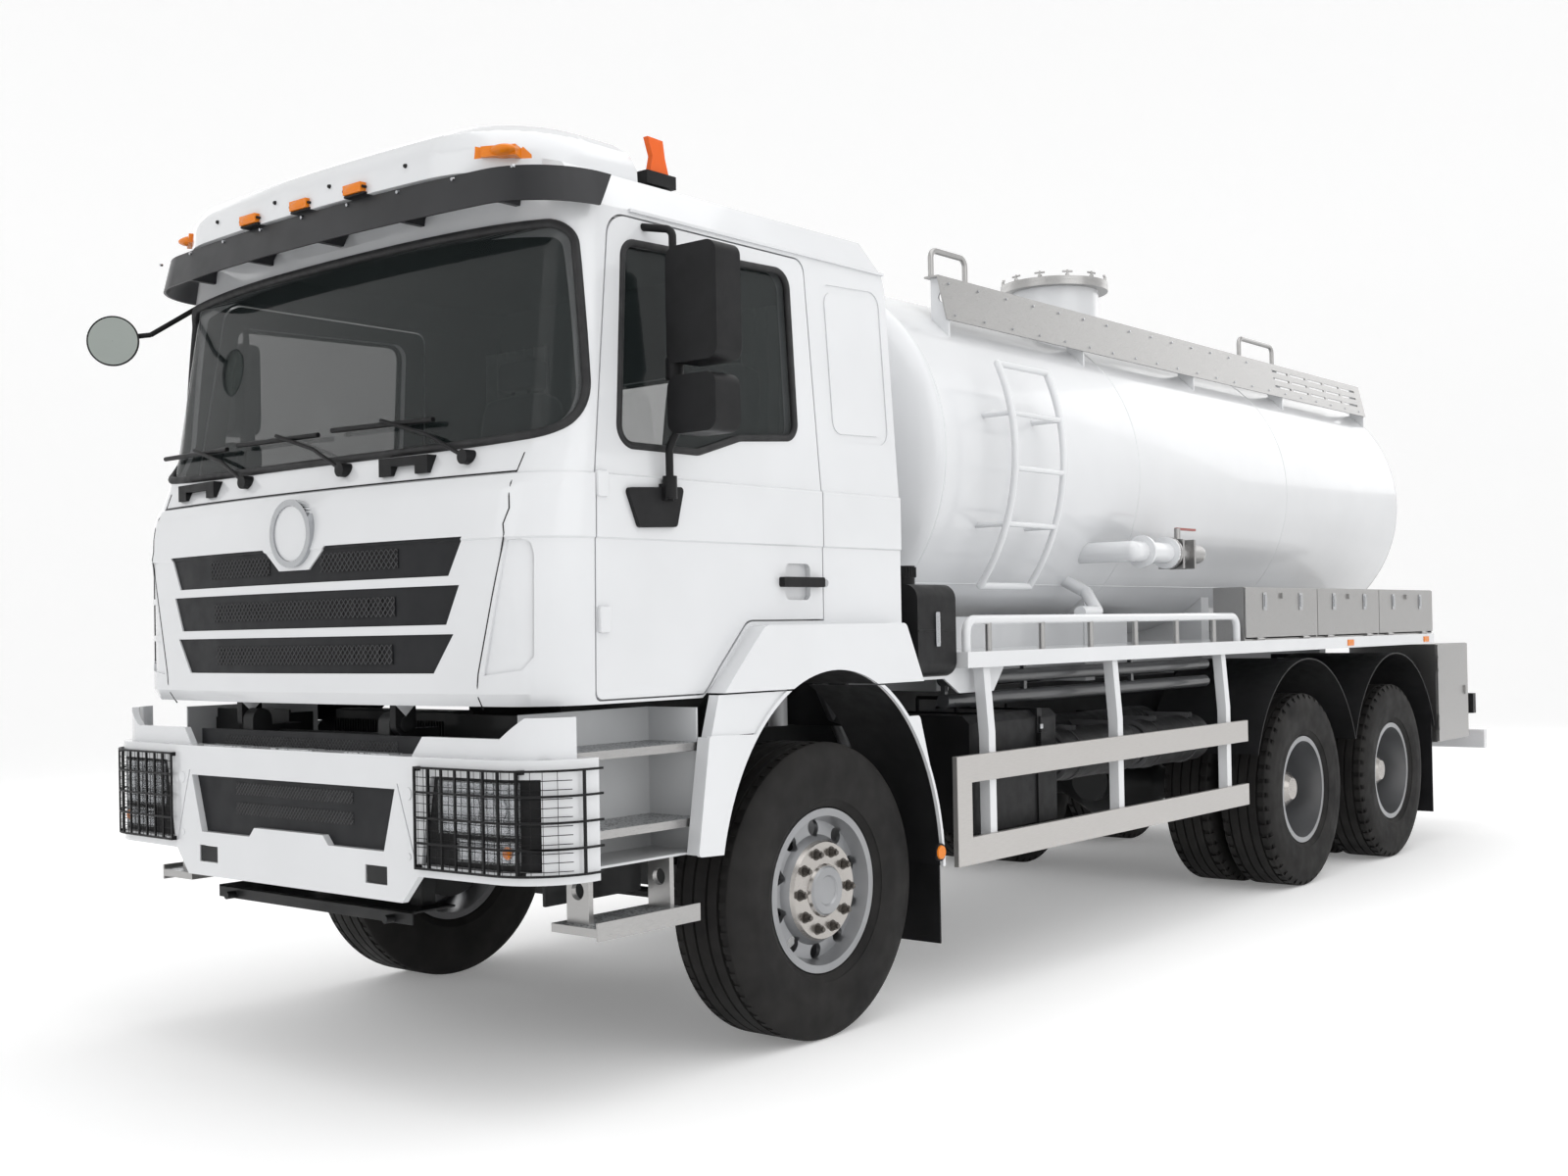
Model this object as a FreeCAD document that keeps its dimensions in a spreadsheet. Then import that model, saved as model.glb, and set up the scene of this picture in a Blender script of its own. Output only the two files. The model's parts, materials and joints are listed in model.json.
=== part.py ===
import FreeCAD, Part
import math
import os
import Sketcher

# Three-axle cab-over vacuum tanker truck, 6x4, standing on its wheels.
# Millimetres. The truck faces -Y, its left side is +X and +Z is up.
# Every size is measured from the front axle (y) and the ground (z), and each
# finished piece is then moved so that the origin is under the middle of the truck.

doc = FreeCAD.newDocument("TankerTruck")
sheet = doc.addObject("Spreadsheet::Sheet", "Sizes")
V = FreeCAD.Vector

SIZES = (
    # overall
    ("front_overhang", 1500), ("rear_reach", 7700), ("axle_two_y", 4375), ("axle_gap", 1400),
    # wheels and tyres
    ("tyre_radius", 542.5), ("tyre_width", 300), ("rim_radius", 286), ("rim_flange", 300),
    ("rim_width", 250), ("rim_wall", 14), ("steer_track", 1045), ("outer_track", 1070),
    ("inner_track", 735), ("hub_radius", 105), ("hub_cap_reach", 1182), ("hand_hole", 30),
    ("hand_hole_ring", 226), ("nut_ring", 142), ("nut_radius", 17), ("spindle_radius", 45),
    ("axle_end_radius", 60), ("running_gap", 1), ("drum_radius", 210), ("disc_wall", 14),
    # steering
    ("kingpin_x", 870), ("kingpin_radius", 24), ("beam_top", 590), ("beam_height", 90),
    ("beam_half_depth", 48), ("fork_height", 46), ("fork_gap", 6), ("arm_length", 190),
    ("rod_radius", 22), ("rod_pin", 12), ("arm_drop_gap", 6),
    # chassis
    ("rail_outer", 425), ("rail_height", 300), ("rail_top", 1090), ("rail_flange", 80),
    ("rail_wall", 10), ("rail_front", -1200), ("rail_rear", 7420), ("axle_tube", 95),
    ("spring_x", 420), ("spring_width", 90), ("spring_half_length", 800),
    ("spring_thickness", 60), ("rear_spring_x", 490), ("engine_half_width", 325),
    ("engine_front", -740), ("engine_rear", 450), ("engine_bottom", 600), ("engine_top", 1430),
    ("gearbox_rear", 1350),
    # cab
    ("cab_half_width", 1180), ("cab_front", -1445), ("cab_rear", 515), ("cab_bottom", 1275),
    ("cab_rear_floor", 1480), ("floor_step_front", -640), ("floor_step_rear", -434),
    ("cab_wall", 50), ("crown_radius", 8000), 
    ("gutter", 2880), ("grille_depth", 26), ("gutter_half_width", 1120), ("roof_side", 3015), ("roof_side_x", 1040),
    ("roof_front", 3110), ("roof_rear", 3025), ("glass_thickness", 6), ("glass_inset", 16),
    ("tilt_y", -1330), ("tilt_z", 1210), ("tilt_pin", 25), ("seam", 6), ("fit", 0.4),
    # doors
    ("door_front", -1149), ("door_front_top", -1005), ("door_rear", 25), ("door_rear_top", 8),
    ("door_bottom", 1284), ("door_arch_bottom", 1530), ("door_top", 2866),
    # wheel arches
    ("arch_outer", 1250), ("arch_half_length", 660), ("arch_rise", 800), ("arch_centre", 550),
    ("arch_top", 1517), ("arch_inner", 905), ("arch_split", 1290), ("arch_skin", 14),
    ("flap_bottom", 250),
    # bumper
    ("bumper_half_width", 1255), ("bumper_bottom", 650), ("bumper_end_bottom", 740),
    ("bumper_top", 1118), ("bumper_corner_top", 1245), ("bumper_depth", 282),
    ("bumper_skin", 24), ("guard_reach", 20), ("guard_wire", 7), ("bumper_corner", 215), ("lamp_inner", 715), ("lamp_outer", 1190),
    ("lamp_bottom", 780), ("lamp_top", 1060),
    # steps
    ("step_front", -1275), ("step_rear", -681), ("step_outer", 1180), ("nose_inner", 1196), ("step_back", 950),
    ("step_top", 1245), ("step_bottom", 760), ("tread_upper", 1130), ("tread_lower", 880),
    ("tread_hung", 560), ("tread_thickness", 28), ("plate", 8),
    # tank
    ("tank_radius", 850), ("tank_centre", 2285), ("tank_front", 1337), ("tank_rear", 6960),
    ("head_depth", 215), ("hatch_y", 3770), ("neck_radius", 255), ("flange_radius", 310),
    ("flange_top", 3456), ("flange_thickness", 26), ("lid_gap", 0.5),
    # deck and bodywork
    ("deck_top", 1395), ("deck_edge", 1240), ("deck_front", 880), ("deck_rear", 6500),
    ("deck_edge_depth", 65), ("deck_plate", 10), ("rail_tube", 19), ("guard_rail_outer", 1262),
    ("box_inner", 1050), ("box_outer", 1232), ("box_front", 3567), ("box_rear", 6500),
    ("box_top", 1680), ("box_wall", 8), ("box_door", 8), ("hinge_pin", 3), ("hinge_barrel", 6), ("hinge_out", 3), ("hinge_up", 8), ("cabinet_front", 6570),
    ("cabinet_rear", 7200), ("cabinet_bottom", 670), ("cabinet_top", 1322),
    ("cabinet_inner", 640), ("guard_radius", 742), ("guard_skin", 8), ("guard_inner", 590),
    ("guard_outer", 1238), ("guard_flap_bottom", 220), ("walk_inner", 600),
    ("walk_outer", 650), ("walk_bottom", 2925), ("walk_top", 3140), ("walk_front", 1670),
    ("walk_rear", 6950),
    ("outlet_tip", 7310), ("badge_radius", 118), ("ladder_tube", 17),
    ("strip_front", -1393), ("strip_top", 1175),
    # mirrors
    ("mirror_outer", 1455), ("mirror_inner", 1235), ("mirror_bottom", 2370),
    ("mirror_top", 2750), ("mirror_front", -860), ("mirror_rear", -740),
)
for row, (name, value) in enumerate(SIZES, 1):
    sheet.set(f"A{row}", name)
    sheet.set(f"B{row}", str(value))
    sheet.setAlias(f"B{row}", name)
doc.recompute()


def number(size):
    return size.value if isinstance(size, Size) else float(size)


def words(size):
    return size.text if isinstance(size, Size) else repr(float(size))


class Size:
    """A length together with the sheet expression that drives it."""

    def __init__(self, value, text):
        self.value = value
        self.text = text

    def __float__(self):
        return self.value

    def __add__(self, other):
        return Size(self.value + number(other), f"({self.text} + {words(other)})")

    def __radd__(self, other):
        return Size(number(other) + self.value, f"({words(other)} + {self.text})")

    def __sub__(self, other):
        return Size(self.value - number(other), f"({self.text} - {words(other)})")

    def __rsub__(self, other):
        return Size(number(other) - self.value, f"({words(other)} - {self.text})")

    def __mul__(self, other):
        return Size(self.value * number(other), f"({self.text} * {words(other)})")

    __rmul__ = __mul__

    def __truediv__(self, other):
        return Size(self.value / number(other), f"({self.text} / {words(other)})")

    def __neg__(self):
        return Size(-self.value, f"(0 - {self.text})")


class Sheet:
    """Reads the named sizes of the spreadsheet."""

    def __getattr__(self, alias):
        return Size(float(sheet.get(alias)), f"Sizes.{alias}")


D = Sheet()
SHIFT = (D.front_overhang - D.rear_reach) / 2
AXLE_THREE = D.axle_two_y + D.axle_gap


def bind(obj, prop, size):
    obj.setExpression(prop, words(size))


def place(obj, x=0, y=0, z=0):
    for letter, size in (("x", x), ("y", y), ("z", z)):
        if isinstance(size, Size) or size:
            bind(obj, f"Placement.Base.{letter}", size)
    return obj


def box(x, y, z):
    obj = doc.addObject("Part::Box", "Block")
    bind(obj, "Length", x[1] - x[0])
    bind(obj, "Width", y[1] - y[0])
    bind(obj, "Height", z[1] - z[0])
    return place(obj, x[0], y[0], z[0])


TURN = {"x": (V(0, 1, 0), 90), "y": (V(1, 0, 0), -90), "z": (V(0, 0, 1), 0)}


def rod(axis, centre, radius, span):
    """A round bar along an axis; centre gives the other two coordinates in order."""
    obj = doc.addObject("Part::Cylinder", "Rod")
    obj.Placement.Rotation = FreeCAD.Rotation(*TURN[axis])
    bind(obj, "Radius", radius)
    bind(obj, "Height", span[1] - span[0])
    where = list(centre)
    where.insert("xyz".index(axis), span[0])
    return place(obj, *where)


def cone(axis, centre, radii, span):
    obj = doc.addObject("Part::Cone", "Taper")
    obj.Placement.Rotation = FreeCAD.Rotation(*TURN[axis])
    bind(obj, "Radius1", radii[0])
    bind(obj, "Radius2", radii[1])
    bind(obj, "Height", span[1] - span[0])
    where = list(centre)
    where.insert("xyz".index(axis), span[0])
    return place(obj, *where)


def fuse(*items):
    obj = doc.addObject("Part::MultiFuse", "Joined")
    obj.Shapes = list(items)
    return obj


def group(*items):
    obj = doc.addObject("Part::Compound", "Set")
    obj.Links = list(items)
    return obj


def cut(base, *tools):
    obj = doc.addObject("Part::Cut", "Opened")
    obj.Base = base
    obj.Tool = tools[0] if len(tools) == 1 else group(*tools)
    return obj


def common(*items):
    obj = doc.addObject("Part::MultiCommon", "Shared")
    obj.Shapes = list(items)
    return obj


def mirrored(item):
    obj = doc.addObject("Part::Mirroring", "OtherSide")
    obj.Source = item
    obj.Normal = V(1, 0, 0)
    return obj


def pair(item):
    return group(item, mirrored(item))


def origin_plane(body, role):
    return next(o for o in body.Origin.OriginFeatures if o.Role == role)


def outline(body, plane, points):
    """A closed polygon whose every corner is bound to the sheet."""
    sketch = body.newObject("Sketcher::SketchObject", "Outline")
    sketch.AttachmentSupport = [(origin_plane(body, plane + "_Plane"), "")]
    sketch.MapMode = "FlatFace"
    flat = [V(number(a), number(b), 0) for a, b in points]
    sides = [Part.LineSegment(a, b) for a, b in zip(flat, flat[1:] + flat[:1])]
    sketch.addGeometry(sides, False)
    count = len(points)
    sketch.addConstraint([Sketcher.Constraint("Coincident", i, 2, (i + 1) % count, 1)
                          for i in range(count)])
    for i, (a, b) in enumerate(points):
        for kind, size in (("DistanceX", a), ("DistanceY", b)):
            index = sketch.addConstraint(Sketcher.Constraint(kind, -1, 1, i, 1, number(size)))
            if isinstance(size, Size):
                sketch.setExpression(f"Constraints[{index}]", size.text)
    return sketch


def prism(plane, points, span, rounds=None):
    """A polygon on the XY, XZ or YZ plane pushed out over a span of the third axis."""
    body = doc.addObject("PartDesign::Body", "Profile")
    sketch = outline(body, plane, points)
    pad = body.newObject("PartDesign::Pad", "Pad")
    pad.Profile = sketch
    bind(pad, "Length", span[1] - span[0])
    body.Tip = pad
    if plane == "XY":
        place(body, z=span[0])
    elif plane == "XZ":
        place(body, y=span[1])
    else:
        place(body, x=span[0])
    for radius, corners in (rounds or ()):
        round_corners(body, plane, points, radius, corners)
    return body


def round_corners(body, plane, points, radius, corners):
    doc.recompute()
    tip = body.Tip
    first, second = {"XY": (0, 1), "XZ": (0, 2), "YZ": (1, 2)}[plane]
    names = []
    for i, edge in enumerate(tip.Shape.Edges, 1):
        ends = [vertex.Point for vertex in edge.Vertexes]
        for corner in corners:
            spot = [number(size) for size in points[corner]]
            if all(math.hypot(p[first] - spot[0], p[second] - spot[1]) < 0.01 for p in ends):
                names.append(f"Edge{i}")
    fillet = body.newObject("PartDesign::Fillet", "Rounded")
    fillet.Base = (tip, names)
    bind(fillet, "Radius", radius)
    body.Tip = fillet


def turned(points, centre_x=0, wheel_y=0, wheel_z=0):
    """A profile of (x, radius) points turned round a line parallel to X."""
    body = doc.addObject("PartDesign::Body", "Turned")
    sketch = outline(body, "XZ", points)
    spin = body.newObject("PartDesign::Revolution", "Spin")
    spin.Profile = sketch
    spin.ReferenceAxis = (sketch, ["H_Axis"])
    spin.Angle = 360
    body.Tip = spin
    place(body, centre_x, wheel_y, wheel_z)
    return body


def oval(semi_y, semi_z, centre_z, span):
    """A solid of elliptic section about the front wheel centre line."""
    ring = doc.addObject("Part::Ellipse", "Oval")
    bind(ring, "MajorRadius", semi_z)
    bind(ring, "MinorRadius", semi_y)
    ring.Placement.Rotation = FreeCAD.Rotation(V(0, 1, 0), -90)
    place(ring, span[0], 0, centre_z)
    obj = doc.addObject("Part::Extrusion", "OvalBlock")
    obj.Base = ring
    obj.DirMode = "Custom"
    obj.Dir = V(1, 0, 0)
    obj.Solid = True
    bind(obj, "LengthFwd", span[1] - span[0])
    return obj


def bent_tube(points, radius, bend):
    """A round tube along straight runs joined by tangent arcs."""
    spots = [V(*(number(size) for size in point)) for point in points]
    radius = number(radius)
    edges = []
    start = spots[0]
    for before, corner, after in zip(spots, spots[1:], spots[2:]):
        to_before = (before - corner).normalize()
        to_after = (after - corner).normalize()
        half = to_before.getAngle(to_after) / 2
        reach = bend / math.tan(half)
        inward = (to_before + to_after).normalize()
        middle = corner + inward * (bend / math.sin(half) - bend)
        first = corner + to_before * reach
        second = corner + to_after * reach
        edges.append(Part.makeLine(start, first))
        edges.append(Part.Arc(first, middle, second).toShape())
        start = second
    edges.append(Part.makeLine(start, spots[-1]))
    path = Part.Wire(edges)
    section = Part.Wire(Part.makeCircle(radius, spots[0], spots[1] - spots[0]))
    obj = doc.addObject("Part::Feature", "Tube")
    obj.Shape = path.makePipeShell([section], True, False)
    return obj


finished = []


def finish(obj, node, x=0, y=0, z=0):
    obj.Label = node
    place(obj, x, SHIFT + y, z)
    finished.append(obj)
    return obj


# Wheels

def tyre(node, centre_x, wheel_y, twin=None):
    half = D.tyre_width / 2
    seat = D.rim_width / 2 - 12
    points = [(-seat, D.rim_radius), (-seat, D.rim_flange + 3), (-half * 0.86, D.rim_flange + 6),
              (-half, D.tyre_radius - 120), (-half * 0.84, D.tyre_radius - 8),
              (-half * 0.78, D.tyre_radius), (half * 0.78, D.tyre_radius),
              (half * 0.84, D.tyre_radius - 8), (half, D.tyre_radius - 120),
              (half * 0.86, D.rim_flange + 6), (seat, D.rim_flange + 3), (seat, D.rim_radius)]
    outer = turned(points, centre_x, 0, D.tyre_radius)
    if twin is None:
        return finish(group(outer), node, y=wheel_y)
    return finish(group(outer, turned(points, twin, 0, D.tyre_radius)), node, y=wheel_y)


def hand_holes(x_span):
    holes = []
    for i in range(10):
        turn = math.radians(36 * i + 18)
        side = D.hand_hole_ring * math.cos(turn)
        rise = D.hand_hole_ring * math.sin(turn) + D.tyre_radius
        holes.append(rod("x", (side, rise), D.hand_hole, x_span))
    return holes


def front_rim(side, node):
    half = D.rim_width / 2
    track = D.steer_track
    inside = D.rim_radius - D.rim_wall
    face = D.hub_cap_reach - track
    points = [(-half, D.rim_flange), (-half + 12, D.rim_flange), (-half + 12, D.rim_radius),
              (half - 12, D.rim_radius), (half - 12, D.rim_flange), (half, D.rim_flange),
              (half, inside), (half - 34, inside - 12),
              (half - 50, D.hand_hole_ring + 26), (half - 44, D.hand_hole_ring - 24),
              (face - 12, D.nut_ring + 34), (face - 10, D.nut_ring - 44),
              (face, D.nut_ring - 50), (face, 0), (half - 55, 0),
              (half - 55, D.spindle_radius + D.running_gap),
              (-half + 40, D.spindle_radius + D.running_gap), (-half + 40, D.hub_radius),
              (half - 55, D.hub_radius), (face - 30, D.nut_ring + 20),
              (half - 62, D.hand_hole_ring - 24), (half - 66, D.hand_hole_ring + 26),
              (half - 54, inside - 2), (half - 60, inside), (-half, inside)]
    body = turned(points, track, 0, D.tyre_radius)
    rim = cut(body, *hand_holes((track + half - 90, track + half)))
    if side < 0:
        rim = mirrored(rim)
    return finish(rim, node)


def twin_rim(side, node, wheel_y):
    middle = (D.outer_track + D.inner_track) / 2
    far = D.outer_track - middle
    half = D.rim_width / 2
    inside = D.rim_radius - D.rim_wall
    disc = D.disc_wall
    points = [(far + half, D.rim_flange), (far + half - 12, D.rim_flange),
              (far + half - 12, D.rim_radius), (far - half + 12, D.rim_radius),
              (far - half + 12, D.rim_flange), (far - half, D.rim_flange),
              (far - half, inside), (far - half + 6, inside), (disc + 6, D.hand_hole_ring + 26),
              (-disc - 6, D.hand_hole_ring + 26), (-far + half - 6, inside),
              (-far + half, inside), (-far + half, D.rim_flange),
              (-far + half - 12, D.rim_flange), (-far + half - 12, D.rim_radius),
              (-far - half + 12, D.rim_radius), (-far - half + 12, D.rim_flange),
              (-far - half, D.rim_flange), (-far - half, inside), (-far + half - 24, inside),
              (-disc - 8, D.hand_hole_ring - 4), (-disc - 8, D.drum_radius),
              (-far - half + 40, D.drum_radius), (-far - half + 40, D.drum_radius - 90),
              (-far - half + 20, D.drum_radius - 90),
              (-far - half + 20, D.axle_end_radius + D.running_gap),
              (100, D.axle_end_radius + D.running_gap), (100, 0), (230, 0), (230, 60),
              (180, 108), (disc + 14, 112), (disc + 14, D.nut_ring + 30),
              (disc + 8, D.hand_hole_ring - 4), (far - half + 24, inside), (far + half, inside)]
    body = turned(points, middle, 0, D.tyre_radius)
    if side < 0:
        return finish(mirrored(cut(body, *hand_holes((middle - 60, middle + 60)))), node, y=wheel_y)
    return finish(cut(body, *hand_holes((middle - 60, middle + 60))), node, y=wheel_y)


def wheels():
    for side, name in ((1, "left"), (-1, "right")):
        tyre(f"tyre_front_{name}", D.steer_track * side, 0)
        front_rim(side, f"rim_front_{name}")
        for number_, wheel_y in ((2, D.axle_two_y), (3, AXLE_THREE)):
            tyre(f"tyres_axle{number_}_{name}", D.outer_track * side, wheel_y,
                 D.inner_track * side)
            twin_rim(side, f"rims_axle{number_}_{name}", wheel_y)


# Axles and steering

def axles():
    beam_bottom = D.beam_top - D.beam_height
    eye = D.kingpin_radius + 30
    beam = fuse(box((-D.kingpin_x, D.kingpin_x), (-D.beam_half_depth, D.beam_half_depth),
                    (beam_bottom, D.beam_top)),
                rod("z", (D.kingpin_x, 0), eye, (beam_bottom, D.beam_top)),
                rod("z", (-D.kingpin_x, 0), eye, (beam_bottom, D.beam_top)))
    bores = [rod("z", (D.kingpin_x * side, 0), D.kingpin_radius + D.fit,
                 (beam_bottom - 10, D.beam_top + 10)) for side in (1, -1)]
    pads = [box((D.spring_x * side - D.spring_width / 2, D.spring_x * side + D.spring_width / 2),
                (-110, 110), (D.beam_top, D.beam_top + 24)) for side in (1, -1)]
    items = [fuse(cut(beam, *bores), *pads)]
    drum_face = D.inner_track - D.rim_width / 2
    for axle_y in (D.axle_two_y, AXLE_THREE):
        tube = fuse(rod("x", (axle_y, D.tyre_radius), D.axle_tube, (-drum_face, drum_face)),
                    rod("x", (axle_y, D.tyre_radius), D.axle_end_radius,
                        (-D.outer_track + 80, D.outer_track - 80)),
                    cone("x", (axle_y, D.tyre_radius), (D.axle_tube, 215), (-330, -110)),
                    rod("x", (axle_y, D.tyre_radius), 215, (-110, 110)),
                    cone("x", (axle_y, D.tyre_radius), (215, D.axle_tube), (110, 330)),
                    rod("y", (0, D.tyre_radius + 20), 120, (axle_y - 300, axle_y)))
        items.append(tube)
    return finish(group(*items), "axles")


def knuckle():
    """Left steering knuckle: fork and kingpin, spindle, brake plate and steering arm."""
    beam_bottom = D.beam_top - D.beam_height
    low = (beam_bottom - D.fork_gap - D.fork_height, beam_bottom - D.fork_gap)
    high = (D.beam_top + D.fork_gap, D.beam_top + D.fork_gap + D.fork_height)
    plate_in = D.kingpin_x + D.kingpin_radius + 36
    legs = []
    for span in (low, high):
        legs.append(rod("z", (D.kingpin_x, 0), D.kingpin_radius + 28, span))
        legs.append(box((D.kingpin_x, plate_in + 10), (-50, 50), span))
    web = box((plate_in, plate_in + 22), (-60, 60), (low[0], high[1]))
    pin = rod("z", (D.kingpin_x, 0), D.kingpin_radius, (low[0], high[1]))
    spindle = rod("x", (0, D.tyre_radius), D.spindle_radius,
                  (plate_in, D.steer_track + D.rim_width / 2 - 65))
    plate = rod("x", (0, D.tyre_radius), 200, (plate_in + 6, plate_in + 18))
    arm = box((D.kingpin_x - 28, D.kingpin_x + 28), (0, D.arm_length), low)
    end = rod("z", (D.kingpin_x, D.arm_length), 34, low)
    return fuse(*legs, web, pin, spindle, plate, arm, end), low


def steering():
    left, low = knuckle()
    bore = rod("z", (D.kingpin_x, D.arm_length), D.rod_pin + D.fit, (low[0] - 5, low[1] + 5))
    finish(cut(left, bore), "knuckle_left")
    right, low = knuckle()
    bore = rod("z", (D.kingpin_x, D.arm_length), D.rod_pin + 4, (low[0] - 5, low[1] + 5))
    finish(mirrored(cut(right, bore)), "knuckle_right")
    top = low[0] - D.arm_drop_gap
    centre_z = top - D.rod_radius
    ends = [rod("z", (D.kingpin_x * side, D.arm_length), D.rod_radius + 8,
                (centre_z - D.rod_radius - 4, top)) for side in (1, -1)]
    pins = [rod("z", (D.kingpin_x * side, D.arm_length), D.rod_pin,
                (centre_z, low[1] - 2)) for side in (1, -1)]
    bar = rod("x", (D.arm_length, centre_z), D.rod_radius, (-D.kingpin_x, D.kingpin_x))
    finish(fuse(bar, *ends, *pins), "tie_rod")


# Chassis

def channel_rail():
    outer = D.rail_outer
    inner = outer - D.rail_flange
    top = D.rail_top
    bottom = top - D.rail_height
    wall = D.rail_wall
    return prism("XZ", [(inner, bottom), (outer, bottom), (outer, top), (inner, top),
                        (inner, top - wall), (outer - wall, top - wall),
                        (outer - wall, bottom + wall), (inner, bottom + wall)],
                 (D.rail_front, D.rail_rear))


def frame():
    rail = channel_rail()
    web = D.rail_outer - D.rail_wall
    middle = D.rail_top - D.rail_height / 2
    bars = [rod("x", (y, middle), 55, (-web, web)) for y in (-1100, 1600, 3400, 5075, 6600)]
    bars.append(box((-web, web), (D.rail_rear - 20, D.rail_rear), (middle - 110, middle + 110)))
    lug_x = (D.rail_outer - 60, D.rail_outer)
    lugs = []
    for side in (1, -1):
        x = lug_x if side > 0 else (-lug_x[1], -lug_x[0])
        lugs.append(box(x, (D.tilt_y - 20, D.rail_front + 40), (D.rail_top - 120, D.tilt_z - 20)))
        lugs.append(box(x, (D.tilt_y - 40, D.tilt_y + 40), (D.rail_top - 60, D.tilt_z)))
        lugs.append(rod("x", (D.tilt_y, D.tilt_z), 40, x))
        pin = (x[0], x[1] + 46) if side > 0 else (x[0] - 46, x[1])
        lugs.append(rod("x", (D.tilt_y, D.tilt_z), D.tilt_pin, pin))
    return finish(fuse(rail, mirrored(rail), *bars, *lugs), "frame")


def leaf_springs():
    centre = D.beam_top + 24
    x = (D.spring_x - D.spring_width / 2, D.spring_x + D.spring_width / 2)
    span = D.spring_half_length
    leaf = prism("YZ", [(-span, centre + 110), (-span * 0.5, centre + 25), (0, centre),
                        (span * 0.5, centre + 25), (span, centre + 110),
                        (span, centre + 130), (span * 0.45, centre + 75),
                        (0.0, centre + D.spring_thickness + 10), (-span * 0.45, centre + 75),
                        (-span, centre + 130)], x)
    eyes = [rod("x", (span * side, centre + 125), 28, x) for side in (1, -1)]
    hangers = [box(x, (span * side - 45, span * side + 45),
                   (centre + 130, D.rail_top - D.rail_height)) for side in (1, -1)]
    front = fuse(leaf, *eyes, *hangers)
    seat = D.tyre_radius + D.axle_tube
    rear_x = (D.rear_spring_x - 50, D.rear_spring_x + 50)
    middle = D.axle_two_y + D.axle_gap / 2
    reach = D.axle_gap / 2 + 60
    pack = prism("YZ", [(middle - reach, seat), (middle - reach, seat + 30),
                        (middle - 150, seat + 120), (middle + 150, seat + 120),
                        (middle + reach, seat + 30), (middle + reach, seat),
                        (middle + reach - 120, seat), (middle + 250, seat + 20),
                        (middle - 250, seat + 20), (middle - reach + 120, seat)], rear_x)
    saddle = fuse(box(rear_x, (middle - 130, middle + 130), (seat - 150, seat + 30)),
                  box((D.rail_outer, D.rear_spring_x + 40), (middle - 90, middle + 90),
                      (seat + 110, D.rail_top - 40)))
    rear = fuse(pack, saddle)
    return finish(group(front, mirrored(front), rear, mirrored(rear)), "leaf_springs")


def engine():
    wide = D.engine_half_width
    block = box((-wide, wide), (D.engine_front, D.engine_rear), (D.engine_bottom, D.engine_top - 250))
    head = box((-wide + 60, wide - 60), (D.engine_front + 290, D.engine_rear),
               (D.engine_top - 250, D.engine_top))
    gearbox = box((-220, 220), (D.engine_rear, D.gearbox_rear), (620, 1050))
    web = D.rail_outer - D.rail_wall
    feet = [box((-web, web), (y - 40, y + 40), (850, 900)) for y in (-450, 250)]
    return finish(fuse(block, head, gearbox, *feet), "engine")


# Bumper and lamps

shared = {}


def once(maker):
    """Makes a form the first time it is asked for and hands the same one out again."""
    def wrapped(*sizes):
        key = (maker.__name__,) + tuple(words(size) for size in sizes)
        if key not in shared:
            shared[key] = maker(*sizes)
        return shared[key]
    return wrapped


@once
def bumper_form(inset, bottom, top):
    """The rounded plan of the bumper, pulled in by inset."""
    half = D.bumper_half_width - inset
    front = -D.front_overhang + D.guard_reach + inset
    rear = -D.front_overhang + D.bumper_depth
    block = prism("XY", [(-half, rear), (-half, front + 30), (-half * 0.5, front), (half * 0.5, front),
                         (half, front + 30), (half, rear)], (bottom, top),
                  rounds=[(D.bumper_corner - inset, (1, 4))])
    return block


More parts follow.
